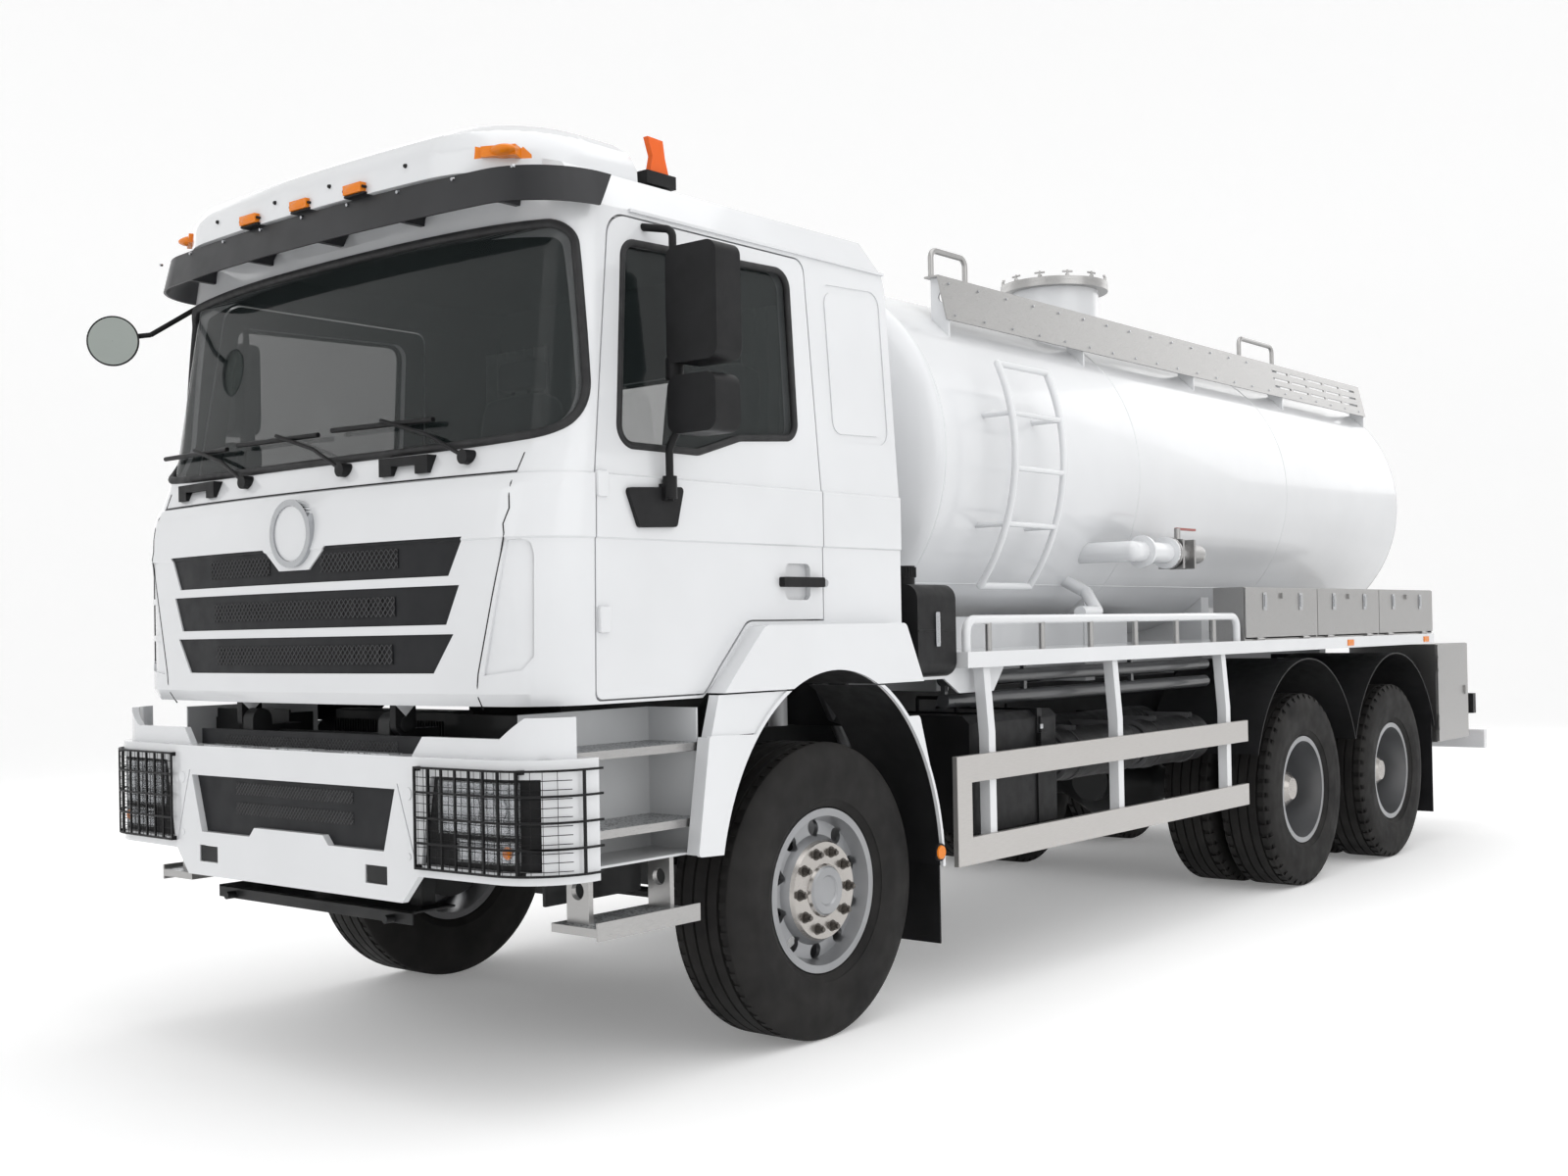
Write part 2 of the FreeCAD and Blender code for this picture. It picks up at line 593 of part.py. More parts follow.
def bumper():
    outer = bumper_form(0, D.bumper_bottom, D.bumper_top)
    top_in = D.bumper_top - D.bumper_skin
    shell = cut(outer, bumper_form(D.bumper_skin, D.bumper_bottom - 10, top_in))
    half = D.bumper_half_width + 10
    low = D.bumper_bottom
    end = D.bumper_end_bottom
    front = -D.front_overhang
    back = front + D.bumper_depth
    y = (front - 10, back + 10)
    under = prism("XZ", [(560, low - 20), (620, low), (700, end), (half, end), (half, low - 20)], y)
    grille = prism("XZ", [(-590, 1012), (590, 1012), (530, 808), (230, 808), (200, 840),
                          (-200, 840), (-230, 808), (-530, 808)], y)
    lamp = prism("XZ", [(D.lamp_inner, D.lamp_bottom), (D.lamp_outer, D.lamp_bottom),
                        (D.lamp_outer, D.lamp_top), (D.lamp_inner + 50, D.lamp_top)],
                 (front - 10, front + 220))
    slot = box((430, 545), (front - 10, front + 60), (700, 760))
    well = box((-1190, 1190), (D.strip_front + D.plate, back + 10), (top_in - 2, D.bumper_top + 5))
    shell = cut(shell, pair(under), grille, pair(lamp), pair(slot), well)
    crease = common(cut(bumper_form(-5, 700, 1100), bumper_form(4, 690, 1110)),
                    pair(prism("XZ", [(600, 1030), (690, 770), (696, 770), (606, 1030)], y)))
    shell = cut(shell, crease)
    ring = cut(bumper_form(30, top_in, D.bumper_corner_top),
               bumper_form(54, top_in - 10, D.bumper_corner_top + 10))
    riser = common(ring, prism("XZ", [(620, top_in), (690, D.bumper_corner_top - 65),
                                      (1040, D.bumper_corner_top - 65), (1130, D.bumper_corner_top),
                                      (half, D.bumper_corner_top), (half, top_in)],
                               (front, back - 60)))
    inner_face = front + D.guard_reach + D.bumper_skin
    strip = box((-660, 660), (D.strip_front, D.strip_front + D.plate), (top_in, D.strip_top))
    beam = box((-900, 900), (D.rail_front - 60, D.rail_front), (790, 900))
    carriers = [box((x - 30, x + 30), (inner_face - 4, D.rail_front - 10), (830, 890))
                for x in (-650, 650)]
    mesh = box((-610, 610), (inner_face, inner_face + 8), (770, 1050))
    return finish(fuse(shell, riser, mirrored(riser), strip, beam, *carriers, mesh), "bumper")


def lamp_outline(gap, y):
    return prism("XZ", [(D.lamp_inner + gap, D.lamp_bottom + gap), (D.lamp_outer - gap, D.lamp_bottom + gap),
                        (D.lamp_outer - gap, D.lamp_top - gap), (D.lamp_inner + 50 + gap, D.lamp_top - gap)], y)


def headlamps():
    front = -D.front_overhang
    unit = common(lamp_outline(4, (front, front + 200)), cut(bumper_form(12, 700, 1100), bumper_form(110, 690, 1110)))
    flange = common(lamp_outline(-18, (front, front + 220)),
                    cut(bumper_form(D.bumper_skin, 700, 1094), bumper_form(D.bumper_skin + 12, 690, 1110)))
    return finish(pair(fuse(unit, flange)), "headlamps")


def lamp_guards():
    """Wire mesh frames that stand off the bumper in front of the lamps."""
    front = -D.front_overhang
    wire = D.guard_wire
    layer = cut(bumper_form(-D.guard_reach, 700, 1118), bumper_form(wire - D.guard_reach, 690, 1128))
    y = (front - 5, front + 300)
    low = D.lamp_bottom - 14
    high = D.lamp_top + 30
    left = D.lamp_inner - 12
    right = D.bumper_half_width + D.guard_reach + 5
    rows = [box((left, right), y, (z, z + wire)) for z in (low, low + 80, low + 160, low + 240, high - wire)]
    columns = [box((left + 62 * i, left + 62 * i + wire), y, (low, high)) for i in range(8)]
    columns.append(box((left, right), (front + 205, front + 205 + wire), (low, high)))
    posts = [box((x, x + 14), y, (z, z + 14)) for x in (left, left + 434) for z in (low, high - 14)]
    standoffs = common(cut(bumper_form(wire - D.guard_reach, 700, 1118), bumper_form(0, 690, 1128)), group(*posts))
    return finish(pair(fuse(common(layer, fuse(*rows, *columns)), standoffs)), "lamp_guards")


def steps():
    x = (D.step_back, D.step_outer)
    y = (D.step_front, D.step_rear)
    wall = D.plate
    case = cut(box(x, y, (D.step_bottom, D.step_top)),
               box((x[0] + wall, x[1] + 10), (y[0] - 10, y[1] - wall),
                   (D.step_bottom + wall, D.step_top + 10)))
    treads = [box((x[0] + wall, x[1] + 8), (y[0] + wall, y[1] - wall), (z - D.tread_thickness, z))
              for z in (D.tread_upper, D.tread_lower)]
    hung_y = (-1220, -750)
    hung_x = (D.step_outer - 150, D.step_outer + 60)
    plate_z = (D.tread_hung, D.tread_hung + D.tread_thickness)
    arms = [box((hung_x[0] + 30, hung_x[1] - 80), (place_y, place_y + 20),
                (plate_z[0], D.step_bottom + 4)) for place_y in (-1180, -810)]
    slot = rod("y", (D.step_outer - 70, 690), 28, (-1230, -740))
    hung = box(hung_x, hung_y, plate_z)
    lip = box((hung_x[1] - wall, hung_x[1]), hung_y, (plate_z[0] - 12, plate_z[1] + 18))
    hangers = [box((D.rail_outer, D.step_back + 4), (near, near + 60), (910, 970))
               for near in (-1155, -880)]
    step = fuse(case, *treads, cut(fuse(*arms), slot), hung, lip, *hangers)
    return finish(pair(step), "steps")


def arch_ring(extra, x):
    """The skin round the elliptic wheel opening."""
    outer = oval(D.arch_half_length + extra, D.arch_rise + extra, D.arch_centre, x)
    return cut(outer, oval(D.arch_half_length, D.arch_rise, D.arch_centre, (x[0] - 5, x[1] + 5)))


def front_mudguards():
    """Chassis-held lower halves of the front wheel arches, ahead of and behind the wheel."""
    x = (D.arch_inner, D.arch_outer)
    top = D.arch_split - D.seam
    skin = D.arch_skin
    front_zone = box((x[0] - 10, x[1] + 10), (-900, 0), (770, top))
    rear_zone = box((x[0] - 10, x[1] + 10), (0, 900), (560, top))
    liner = arch_ring(skin, x)
    plate_x = (D.arch_outer - skin, D.arch_outer)
    upper_x = (plate_x[0] - 10, plate_x[1] - 10)
    opening = oval(D.arch_half_length, D.arch_rise, D.arch_centre, (upper_x[0] - 5, plate_x[1] + 5))
    upper = prism("YZ", [(-640, top), (-682, 1146), (-400, 1146), (-200, top)], upper_x)
    lower = prism("YZ", [(-700, 1152), (-764, 756), (-500, 744), (-440, 1142)], plate_x,
                  rounds=[(14, (0, 1))])
    cheek = cut(fuse(upper, lower), opening)
    noses = [prism("YZ", [(-700, 1146), (-764, 762), (-764 + skin, 762), (-700 + skin, 1146)],
                   (D.nose_inner, D.arch_outer - 4)),
             prism("YZ", [(-640, top), (-682, 1146), (-682 + skin, 1146), (-640 + skin, top)],
                   (D.nose_inner, upper_x[1] - 4))]
    shoulder = box((D.nose_inner, plate_x[1] - 4), (-698, -640), (1132, 1146))
    front = fuse(common(liner, front_zone), cheek, *noses, shoulder)
    rear_upper = prism("YZ", [(200, top), (290, top), (412, 1150), (300, 1150)], upper_x)
    rear_lower = prism("YZ", [(330, 1158), (519, 1158), (664, 700), (679, 556), (596, 556)], plate_x,
                       rounds=[(20, (1,)), (10, (3,))])
    rear_cheek = cut(fuse(rear_upper, rear_lower), opening)
    flap = box((D.arch_inner + 10, D.arch_outer - 24), (664, 672), (D.flap_bottom, 600))
    rear = fuse(common(liner, rear_zone), rear_cheek, flap)
    stay_front = box((D.rail_outer, D.arch_inner + 8), (-590, -540), (980, 1020))
    stay_rear = box((D.rail_outer, D.arch_inner + 8), (545, 590), (980, 1020))
    side = group(fuse(front, stay_front), fuse(rear, stay_rear))
    return finish(pair(side), "front_mudguards")


# Cab

def level(z, front, half, corner, rear):
    """Plan of one level: two straight sides, two corner arcs and a slightly crowned face."""
    crown = number(D.crown_radius)
    centre = V(0, front + crown, z)
    across = half - corner
    ahead = centre.y - math.sqrt((crown - corner) ** 2 - across ** 2)
    spots = []
    for side in (1, -1):
        middle = V(side * across, ahead, z)
        out = (middle - centre).normalize()
        bulge = (out + V(side, 0, 0)).normalize()
        spots.append((V(side * half, ahead, z), middle + bulge * corner, centre + out * crown))
    left, right = spots
    return Part.Wire([Part.makeLine(V(half, rear, z), left[0]), Part.Arc(*left).toShape(),
                      Part.Arc(left[2], V(0, front, z), right[2]).toShape(),
                      Part.Arc(*reversed(right)).toShape(),
                      Part.makeLine(right[0], V(-half, rear, z)),
                      Part.makeLine(V(-half, rear, z), V(half, rear, z))])


def lofted(rows, rear, inset=0):
    """A solid through levels of (height, face, half width, corner), pulled in by inset."""
    inset = number(inset)
    wires = [level(z, front + inset, half - inset, corner - inset * 0.7, number(rear))
             for z, front, half, corner in rows]
    obj = doc.addObject("Part::Feature", "Lofted")
    obj.Shape = Part.makeLoft(wires, True, True)
    return obj


CAB_ROWS = ((1260, -1405, 1166, 225), (1315, -1439, 1174, 228), (1798, -1439, 1174, 228),
            (1804, -1445, 1180, 230), (1950, -1425, 1180, 225), (2003, -1392, 1180, 190),
            (2009, -1380, 1172, 170), (2100, -1340, 1166, 150), (2880, -1222, 1118, 130),
            (3170, -1178, 1098, 125))
CAP_ROWS = ((2985, -1385, 1005, 380), (3070, -1380, 1000, 380), (3130, -1335, 965, 350),
            (3180, -1235, 885, 300), (3205, -1095, 785, 220))
VISOR_ROWS = ((2860, -1398, 1172, 300), (2978, -1376, 1142, 290))


@once
def cab_form(inset):
    """The closed cab body, every face pulled in by inset."""
    half = D.cab_half_width - inset
    rear = D.cab_rear - inset
    floor = D.cab_bottom + inset
    high = D.cab_rear_floor + inset
    side = prism("YZ", [(inset - 1700, floor), (inset - 1700, 1964),
                        (inset - 1102, D.roof_front - inset),
                        (rear - 60, D.roof_rear + 20 - inset), (rear, D.gutter - 60), (rear, high),
                        (D.floor_step_rear + inset, high), (D.floor_step_front + inset * 0.6, floor)],
                 (-half - 60, half + 60))
    face = prism("XZ", [(-half - 20, floor - 10), (half + 20, floor - 10),
                        (half + 20, D.gutter), (D.gutter_half_width - inset, D.gutter),
                        (D.roof_side_x - inset, D.roof_side - inset * 0.6),
                        (700, D.roof_front + 5 - inset), (-700, D.roof_front + 5 - inset),
                        (inset - D.roof_side_x, D.roof_side - inset * 0.6),
                        (inset - D.gutter_half_width, D.gutter), (-half - 20, D.gutter)],
                 (-1520, rear + 60))
    return common(lofted(CAB_ROWS, D.cab_rear + 100, inset), side, face)


def strip(plane, points, width, span):
    """Narrow bars along a line of points, for the gaps between panels."""
    bars = []
    for (a, b), (c, d) in zip(points, points[1:]):
        scale = width / 2 / math.hypot(c - a, d - b)
        u = (c - a) * scale
        v = (d - b) * scale
        bars.append(prism(plane, [(a - u - v, b - v + u), (a - u + v, b - v - u),
                                  (c + u + v, d + v - u), (c + u - v, d + v + u)], span))
    return bars


def door_outline(gap, x):
    """Side view of the door; a gap draws it smaller by the seam."""
    front = D.door_front + gap
    rear = D.door_rear - gap
    low = D.door_bottom + gap
    arch = D.door_arch_bottom + gap
    return prism("YZ", [(front, low), (front + 12, 2000), (D.door_front_top + gap, D.door_top - gap),
                        (D.door_rear_top - gap, D.door_top - gap), (rear + 2, 2000), (rear, arch),
                        (-404 - gap, arch), (-556 - gap, 1372 + gap), (-632 - gap, low)], x,
                 rounds=[(90, (2,)), (50, (3,)), (30, (0,)), (60, (6,))])


def door_block(gap, x):
    """The door's space, kept clear of the floor inside the side wall."""
    inside = D.cab_half_width - D.cab_wall
    floor = box((x[0] - 10, inside), (D.door_front - 20, D.door_rear + 20),
                (D.cab_bottom - 10, D.door_arch_bottom + 90))
    return cut(door_outline(gap, x), floor)


def window_outline(x):
    return prism("YZ", [(-1018, 2103), (-940, 2776), (-96, 2802), (-104, 2192), (-420, 2168),
                        (-640, 2103)], x,
                 rounds=[(60, (0, 1, 2, 3)), (120, (4,)), (90, (5,))])


def windscreen_outline(x):
    """Side view of the screen that wraps round both front corners."""
    return prism("YZ", [(-1600, 2110), (-1138, 2110), (-1114, 2830), (-1600, 2830)], x,
                 rounds=[(200, (1,)), (90, (2,))])


def rear_window_outline(y):
    return prism("XZ", [(-450, 2150), (450, 2150), (450, 2600), (-450, 2600)], y,
                 rounds=[(60, (0, 1, 2, 3))])


SEAM_LINE = ((1020, 2071), (1013, 2011), (1027, 1893), (1010, 1844), (1016, 1813), (961, 1616),
             (899, 1379), (886, 1262))


def panel_lines():
    """Shallow cuts where the front panels meet, and the pressings beside them."""
    y = (-1520, -1150)
    thin = cut(cab_form(-4), cab_form(3))
    seam = strip("XZ", SEAM_LINE, 5, y)
    top = box((-1013, 1013), y, (2009, 2014))
    lines = common(thin, group(*seam, *[mirrored(item) for item in seam]))
    across = common(thin, top)
    deep = cut(cab_form(-5), cab_form(8))
    press = prism("XZ", [(922, 1373), (1060, 1388), (1092, 1430), (1096, 1749), (1088, 1788),
                         (1062, 1797), (1018, 1794)], y, rounds=[(20, (1, 2, 4, 5))])
    ribs = [box((-1120, -900), y, (z, z + 22)) for z in (1500, 1640)]
    presses = [common(deep, press), common(deep, cut(mirrored(press), *ribs))]
    side = (1040, 1300)
    outer = prism("YZ", [(96, 2196), (92, 2790), (470, 2808), (470, 2206)], side,
                  rounds=[(60, (0, 1, 2, 3))])
    inner = prism("YZ", [(126, 2228), (122, 2762), (440, 2778), (440, 2238)],
                  (side[0] - 10, side[1] + 10), rounds=[(46, (0, 1, 2, 3))])
    groove = common(cut(cab_form(-5), cab_form(5)), cut(outer, inner))
    return [lines, across, *presses, groove, mirrored(groove)]


def arch_flare():
    """The panel round the top of the front wheel, with its liner and ties."""
    arch_x = (D.cab_half_width - 90, D.arch_outer)
    flare = cut(prism("YZ", [(-620, D.arch_split), (-547, 1368), (-400, D.arch_top),
                             (440, D.arch_top), (552, D.arch_split)], arch_x,
                      rounds=[(60, (2,)), (30, (3,))]),
                oval(D.arch_half_length, D.arch_rise, D.arch_centre,
                     (arch_x[0] - 10, arch_x[1] + 10)))
    liner = common(arch_ring(D.arch_skin, (D.arch_inner, arch_x[0] + 4)),
                   box((D.arch_inner - 10, arch_x[1]), (-700, 700), (D.arch_split, 1500)))
    tie = box((D.arch_inner, D.arch_inner + 14), (-200, 200), (1360, D.cab_rear_floor + 5))
    return fuse(flare, liner, tie)


def cab():
    wall = cut(cab_form(0), cab_form(D.cab_wall))
    side_x = (D.gutter_half_width - 140, D.cab_half_width + 60)
    wide = (-1300, 1300)
    screen_y = (D.cab_front - 60, D.cab_front + 420)
    back_y = (D.cab_rear - D.cab_wall - 20, D.cab_rear + 20)
    door_hole = door_block(0, side_x)
    shell = cut(wall, door_hole, mirrored(door_hole), windscreen_outline(wide),
                rear_window_outline(back_y))
    skin = cut(cab_form(-20), cab_form(D.grille_depth))
    pockets = [common(skin, bar) for bar in grille_bars(0, screen_y)]
    shell = cut(shell, *pockets, *panel_lines())
    side = arch_flare()
    lug_x = (D.rail_outer + 6, D.rail_outer + 36)
    lug = fuse(box(lug_x, (D.tilt_y - 42, D.tilt_y + 42), (D.tilt_z, D.cab_bottom + 10)),
               rod("x", (D.tilt_y, D.tilt_z), 42, lug_x))
    lug = cut(lug, rod("x", (D.tilt_y, D.tilt_z), D.tilt_pin + D.fit, (lug_x[0] - 5, lug_x[1] + 5)))
    ring = cut(rod("y", (0, 1862), D.badge_radius, (-1454, -1420)),
               rod("y", (0, 1862), D.badge_radius - 22, (-1470, -1410)), cab_form(8))
    gutter = strip("YZ", [(-900, 2884), (500, 2884)], 10, (1095, 1128))[0]
    finish(fuse(shell, side, mirrored(side), lug, mirrored(lug), ring, gutter, mirrored(gutter)),
           "cab_shell")

    pane = cut(cab_form(D.glass_inset), cab_form(D.glass_inset + D.glass_thickness))
    glass = group(common(pane, windscreen_outline(wide)), common(pane, rear_window_outline(back_y)))
    finish(glass, "cab_glass")

    opening = window_outline(side_x)
    recess = prism("YZ", [(-195, 1606), (-53, 1606), (-53, 1737), (-195, 1737)], (1152, 1300),
                   rounds=[(24, (0, 1, 2, 3))])
    handle = prism("YZ", [(-231, 1652), (3, 1652), (3, 1688), (-231, 1688)], (1166, 1200),
                   rounds=[(8, (0, 1, 2, 3))])
    panel = cut(common(wall, door_block(D.seam, side_x)), opening, recess)
    light = common(pane, opening)
    panel = fuse(panel, handle)
    finish(group(panel), "door_left")
    finish(group(light), "door_glass_left")
    finish(mirrored(panel), "door_right")
    finish(mirrored(light), "door_glass_right")


def roof_cap():
    body = cut(lofted(CAP_ROWS, -740), cab_form(0))
    lamps = [box((x - 48, x + 48), (-1400, -1350), (2992, 3024)) for x in (-307, 0, 307)]
    corner = prism("XY", [(850, -1300), (955, -1245), (925, -1190), (820, -1245)], (3030, 3064))
    beacon = fuse(cut(box((944, 1000), (-690, -545), (3040, 3085)), cab_form(0)),
                  prism("YZ", [(-658, 3080), (-560, 3080), (-580, 3145), (-590, 3205), (-665, 3208),
                               (-642, 3145)], (960, 982)))
    return finish(group(fuse(body, *lamps, corner, mirrored(corner)), beacon), "roof_cap")


def visor():
    solid = lofted(VISOR_ROWS, -700)
    tips = prism("YZ", [(-1500, 2850), (-1090, 2850), (-1000, 2985), (-1500, 2985)], (-1300, 1300))
    band = common(cut(solid, lofted(VISOR_ROWS, -600, 8)), tips)
    arms = [box((x - 10, x + 10), (-1420, -1150), (2890, 2950)) for x in (-880, -440, 0, 440, 880)]
    return finish(cut(fuse(band, common(solid, group(*arms))), cab_form(0)), "visor")


def grille_bars(gap, y):
    """The three openings of the front panel, drawn smaller by gap; the top one is notched."""
    top = prism("XZ", [(gap - 778, 1690 + gap), (778 - gap, 1690 + gap), (843 - gap, 1812 - gap),
                       (180 + gap, 1812 - gap), (86 + gap, 1735 - gap), (-86 - gap, 1735 - gap),
                       (-180 - gap, 1812 - gap), (gap - 843, 1812 - gap)], y)
    bars = [top]
    for low, high, wide_low, wide_high in ((1535, 1660, 765, 824), (1380, 1505, 706, 796)):
        bars.append(prism("XZ", [(gap - wide_low, low + gap), (wide_low - gap, low + gap),
                                 (wide_high - gap, high - gap), (gap - wide_high, high - gap)], y))
    return bars


def cab_grilles():
    y = (D.cab_front - 60, D.cab_front + 300)
    layer = cut(cab_form(6), cab_form(D.grille_depth))
    return finish(group(*[common(layer, bar) for bar in grille_bars(D.fit, y)]), "cab_grilles")


def wipers():
    def off(x, z, gap):
        """How far forward a point lies that stands off the panel and screen by a gap."""
        return 0.2 * (z - 2072) - 1352 + x * x / 16000 - gap

    items = []
    for x in (-405, 192, 790):
        line = ((x, 2072, 24), (x - 190, 2160, 20), (x - 430, 2228, 22))
        arm = bent_tube([(a, off(a, b, gap), b) for a, b, gap in line], 7, 60)
        ends = ((x - 700, 2218, 14), (x - 180, 2210, 14))
        blade = bent_tube([(a, off(a, b, gap), b) for a, b, gap in ends], 9, 60)
        head = off(x, 2072, 0)
        items.append(fuse(rod("y", (x, 2072), 24, (head - 36, head + 60)), arm, blade))
    for low, high in ((-894, -612), (396, 630)):
        bridge = prism("XY", [(low, off(low, 2072, 32)), (high, off(high, 2072, 32)),
                              (high, -1200), (low, -1200)], (2032, 2092))
        items.append(cut(bridge, box((low + 60, high - 60), (-1500, -1190), (2020, 2064))))
    return finish(cut(group(*items), cab_form(0)), "wipers")


def round_mirror():
    head = rod("y", (-1200, 2677), 100, (-1440, -1400))
    arm = bent_tube([(-1200, -1405, 2700), (-1150, -1290, 2712), (-1100, -1100, 2844)], 10, 20)
    return finish(cut(fuse(head, arm), cab_form(0)), "round_mirror")


def dashboard():
    desk = prism("YZ", [(-1390, 1760), (-1060, 1760), (-985, 1850), (-985, 1985), (-1040, 2050),
                        (-1390, 2075)], (-1090, 1090), rounds=[(30, (2, 3, 4))])
    column = rod("z", (560, -1000), 40, (1330, 1900))
    wheel = cut(rod("z", (560, -900), 235, (1960, 1990)), rod("z", (560, -900), 205, (1950, 2000)))
    spokes = box((340, 780), (-925, -875), (1965, 1985))
    stalk = box((530, 590), (-1060, -880), (1880, 1970))
    return finish(common(fuse(desk, column, wheel, spokes, stalk), cab_form(D.cab_wall)), "dashboard")


def seats():
    items = []
    for x in (-560, 560):
        wide = (x - 240, x + 240)
        cushion = prism("YZ", [(-430, 1720), (70, 1690), (70, 1850), (-400, 1900), (-440, 1870)],
                        wide, rounds=[(40, (3, 4))])
        back = prism("YZ", [(-30, 1780), (90, 1780), (190, 2480), (150, 2560), (70, 2560),
                            (40, 2480)], (x - 225, x + 225), rounds=[(30, (3, 4))])
        head = prism("YZ", [(80, 2555), (170, 2555), (185, 2700), (100, 2700)], (x - 130, x + 130),
                     rounds=[(30, (2, 3))])
        base = box((x - 190, x + 190), (-360, 40), (1530, 1730))
        items.append(fuse(cushion, back, head, base))
    return finish(group(*items), "seats")


def mirrors(side, node):
    """Two housings on a post that stands on a bracket and is tied to the roof edge of the door."""
    y = (D.mirror_front, D.mirror_rear)
    heads = []
    for inner, outer, low, high in ((D.mirror_inner, D.mirror_outer, D.mirror_bottom, D.mirror_top),
                                    (D.mirror_inner, D.mirror_outer - 10, 2140, 2330)):
        heads.append(prism("XZ", [(inner, low), (outer, low), (outer, high), (inner, high)], y,
                           rounds=[(42, (0, 1, 2, 3))]))
    post = bent_tube([(1205, -823, 1930), (1205, -823, 2100), (1226, -812, 2150),
                      (1226, -812, 2820), (1100, -846, 2843)], 13, 30)
    post = cut(post, box((1000, 1121.8), (-900, -800), (2800, 2880)))
    plate = prism("YZ", [(-1011, 1965), (-743, 1979), (-780, 1845), (-956, 1838)], (1170, 1196),
                  rounds=[(14, (0, 1, 2, 3))])
    socket = rod("z", (1205, -823), 24, (1935, 2010))
    foot = box((1180, 1210), (-850, -796), (1930, 1985))
    neck = rod("z", (1226, -812), 30, (2325, 2395))
    item = cut(fuse(*heads, post, plate, socket, foot, neck), cab_form(0))
    if side < 0:
        item = mirrored(item)
    return finish(item, node)


# Body behind the cab

def deck():
    edge = D.deck_edge
    top = D.deck_top
    y = (D.deck_front, D.deck_rear)
    plate = [box((430, edge), y, (top - D.deck_plate, top)),
             box((edge - D.deck_plate, edge), y, (top - D.deck_edge_depth, top)),
             prism("XZ", [(430, top - 60), (edge, top - D.deck_edge_depth), (edge, top), (430, top)],
                   (D.deck_front, D.deck_front + D.deck_plate))]
    bearers = [box((340, edge - 10), (y - 25, y + 25), (top - 60, top - D.deck_plate)) for y in
               (960, 1600, 2600, 3500)]
    cheek = prism("YZ", [(560, 1288), (D.deck_front - 40, 1288), (D.deck_front + 70, 1225),
                         (D.deck_front + 330, 1225), (D.deck_front + 420, top - D.deck_edge_depth),
                         (D.deck_front + 420, top - 9), (D.deck_front, top - 9),
                         (D.deck_front - 10, 1300), (560, 1300)], (edge - 100, edge - 90))
    shelf = box((700, edge - 90), (560, D.deck_front - 20), (1288, 1300))
    side = fuse(*plate, *bearers, cheek, shelf)
    sub = box((345, 425), (900, 7200), (D.rail_top, 1200))
    skirt = box((540, 550), (900, 3540), (top - 5, top + 150))
    saddles = []
    for y in (1700, 3100, 4500, 6300):
        saddles.append(cut(box((-560, 560), (y - 50, y + 50), (1200, 1700)),
                           rod("y", (0, D.tank_centre), D.tank_radius, (y - 60, y + 60))))
    return finish(fuse(side, mirrored(side), pair(sub), pair(skirt), *saddles), "deck")


def deck_rails():
    x = D.deck_edge - 40
    rail = bent_tube([(x, 930, D.deck_top), (x, 930, 1526), (x, 3520, 1526), (x, 3520, D.deck_top)],
                     D.rail_tube, 60)
    posts = [rod("z", (x, y), 14, (D.deck_top, 1526)) for y in (1100, 1530, 1960, 2390, 2820, 3240)]
    return finish(pair(fuse(rail, *posts)), "deck_rails")


def side_guards():
    x = (D.guard_rail_outer - 25, D.guard_rail_outer)
    rails = [box(x, (800, 3500), (z, z + 110)) for z in (540, 870)]
    plate = box(x, (755, 860), (540, 980))
    posts = []
    for y in (1050, 2150, 3310):
        posts.append(prism("XZ", [(x[0] + 4, 560), (x[0] + 4, 1060), (1215, D.deck_top - D.deck_plate),
                                  (1165, D.deck_top - D.deck_plate), (x[0] - 46, 1040), (x[0] - 46, 560)],
                           (y - 25, y + 25)))
    return finish(pair(fuse(*rails, plate, *posts)), "side_guards")


@once
def tank_body():
    centre = D.tank_centre
    radius = D.tank_radius
    shell = rod("y", (0, centre), radius, (D.tank_front, D.tank_rear))
    heads = []
    for end_y in (D.tank_front, D.tank_rear):
        dome = doc.addObject("Part::Ellipsoid", "Dome")
        bind(dome, "Radius1", D.head_depth)
        bind(dome, "Radius2", radius)
        bind(dome, "Radius3", radius)
        dome.Placement.Rotation = FreeCAD.Rotation(V(1, 0, 0), -90)
        place(dome, 0, end_y, centre)
        heads.append(dome)
    return fuse(shell, *heads)


def hatch_hinge():
    return D.hatch_y + D.flange_radius + 40, D.flange_top + 14


def tank():
    neck = rod("z", (0, D.hatch_y), D.neck_radius, (D.tank_centre, D.flange_top - D.flange_thickness))
    flange = rod("z", (0, D.hatch_y), D.flange_radius, (D.flange_top - D.flange_thickness, D.flange_top))
    hinge_y, hinge_z = hatch_hinge()
    lugs = []
    for x in (-60, 60):
        ear = box((x - 8, x + 8), (D.hatch_y + D.flange_radius - 30, hinge_y + 20),
                  (D.flange_top - D.flange_thickness, hinge_z + 16))
        lugs.append(cut(ear, rod("x", (hinge_y, hinge_z), 10 + D.fit, (x - 20, x + 20))))
    outlet = rod("y", (0, 1620), 55, (D.tank_rear, D.outlet_tip))
    collar = rod("y", (0, 1620), 85, (D.outlet_tip - 130, D.outlet_tip - 110))
    drain = bent_tube([(560, 2731, 1760), (750, 2731, 1663), (900, 2576, 1556), (900, 2400, 1556)], 32, 60)
    return finish(fuse(tank_body(), neck, flange, *lugs, outlet, collar, drain), "tank")


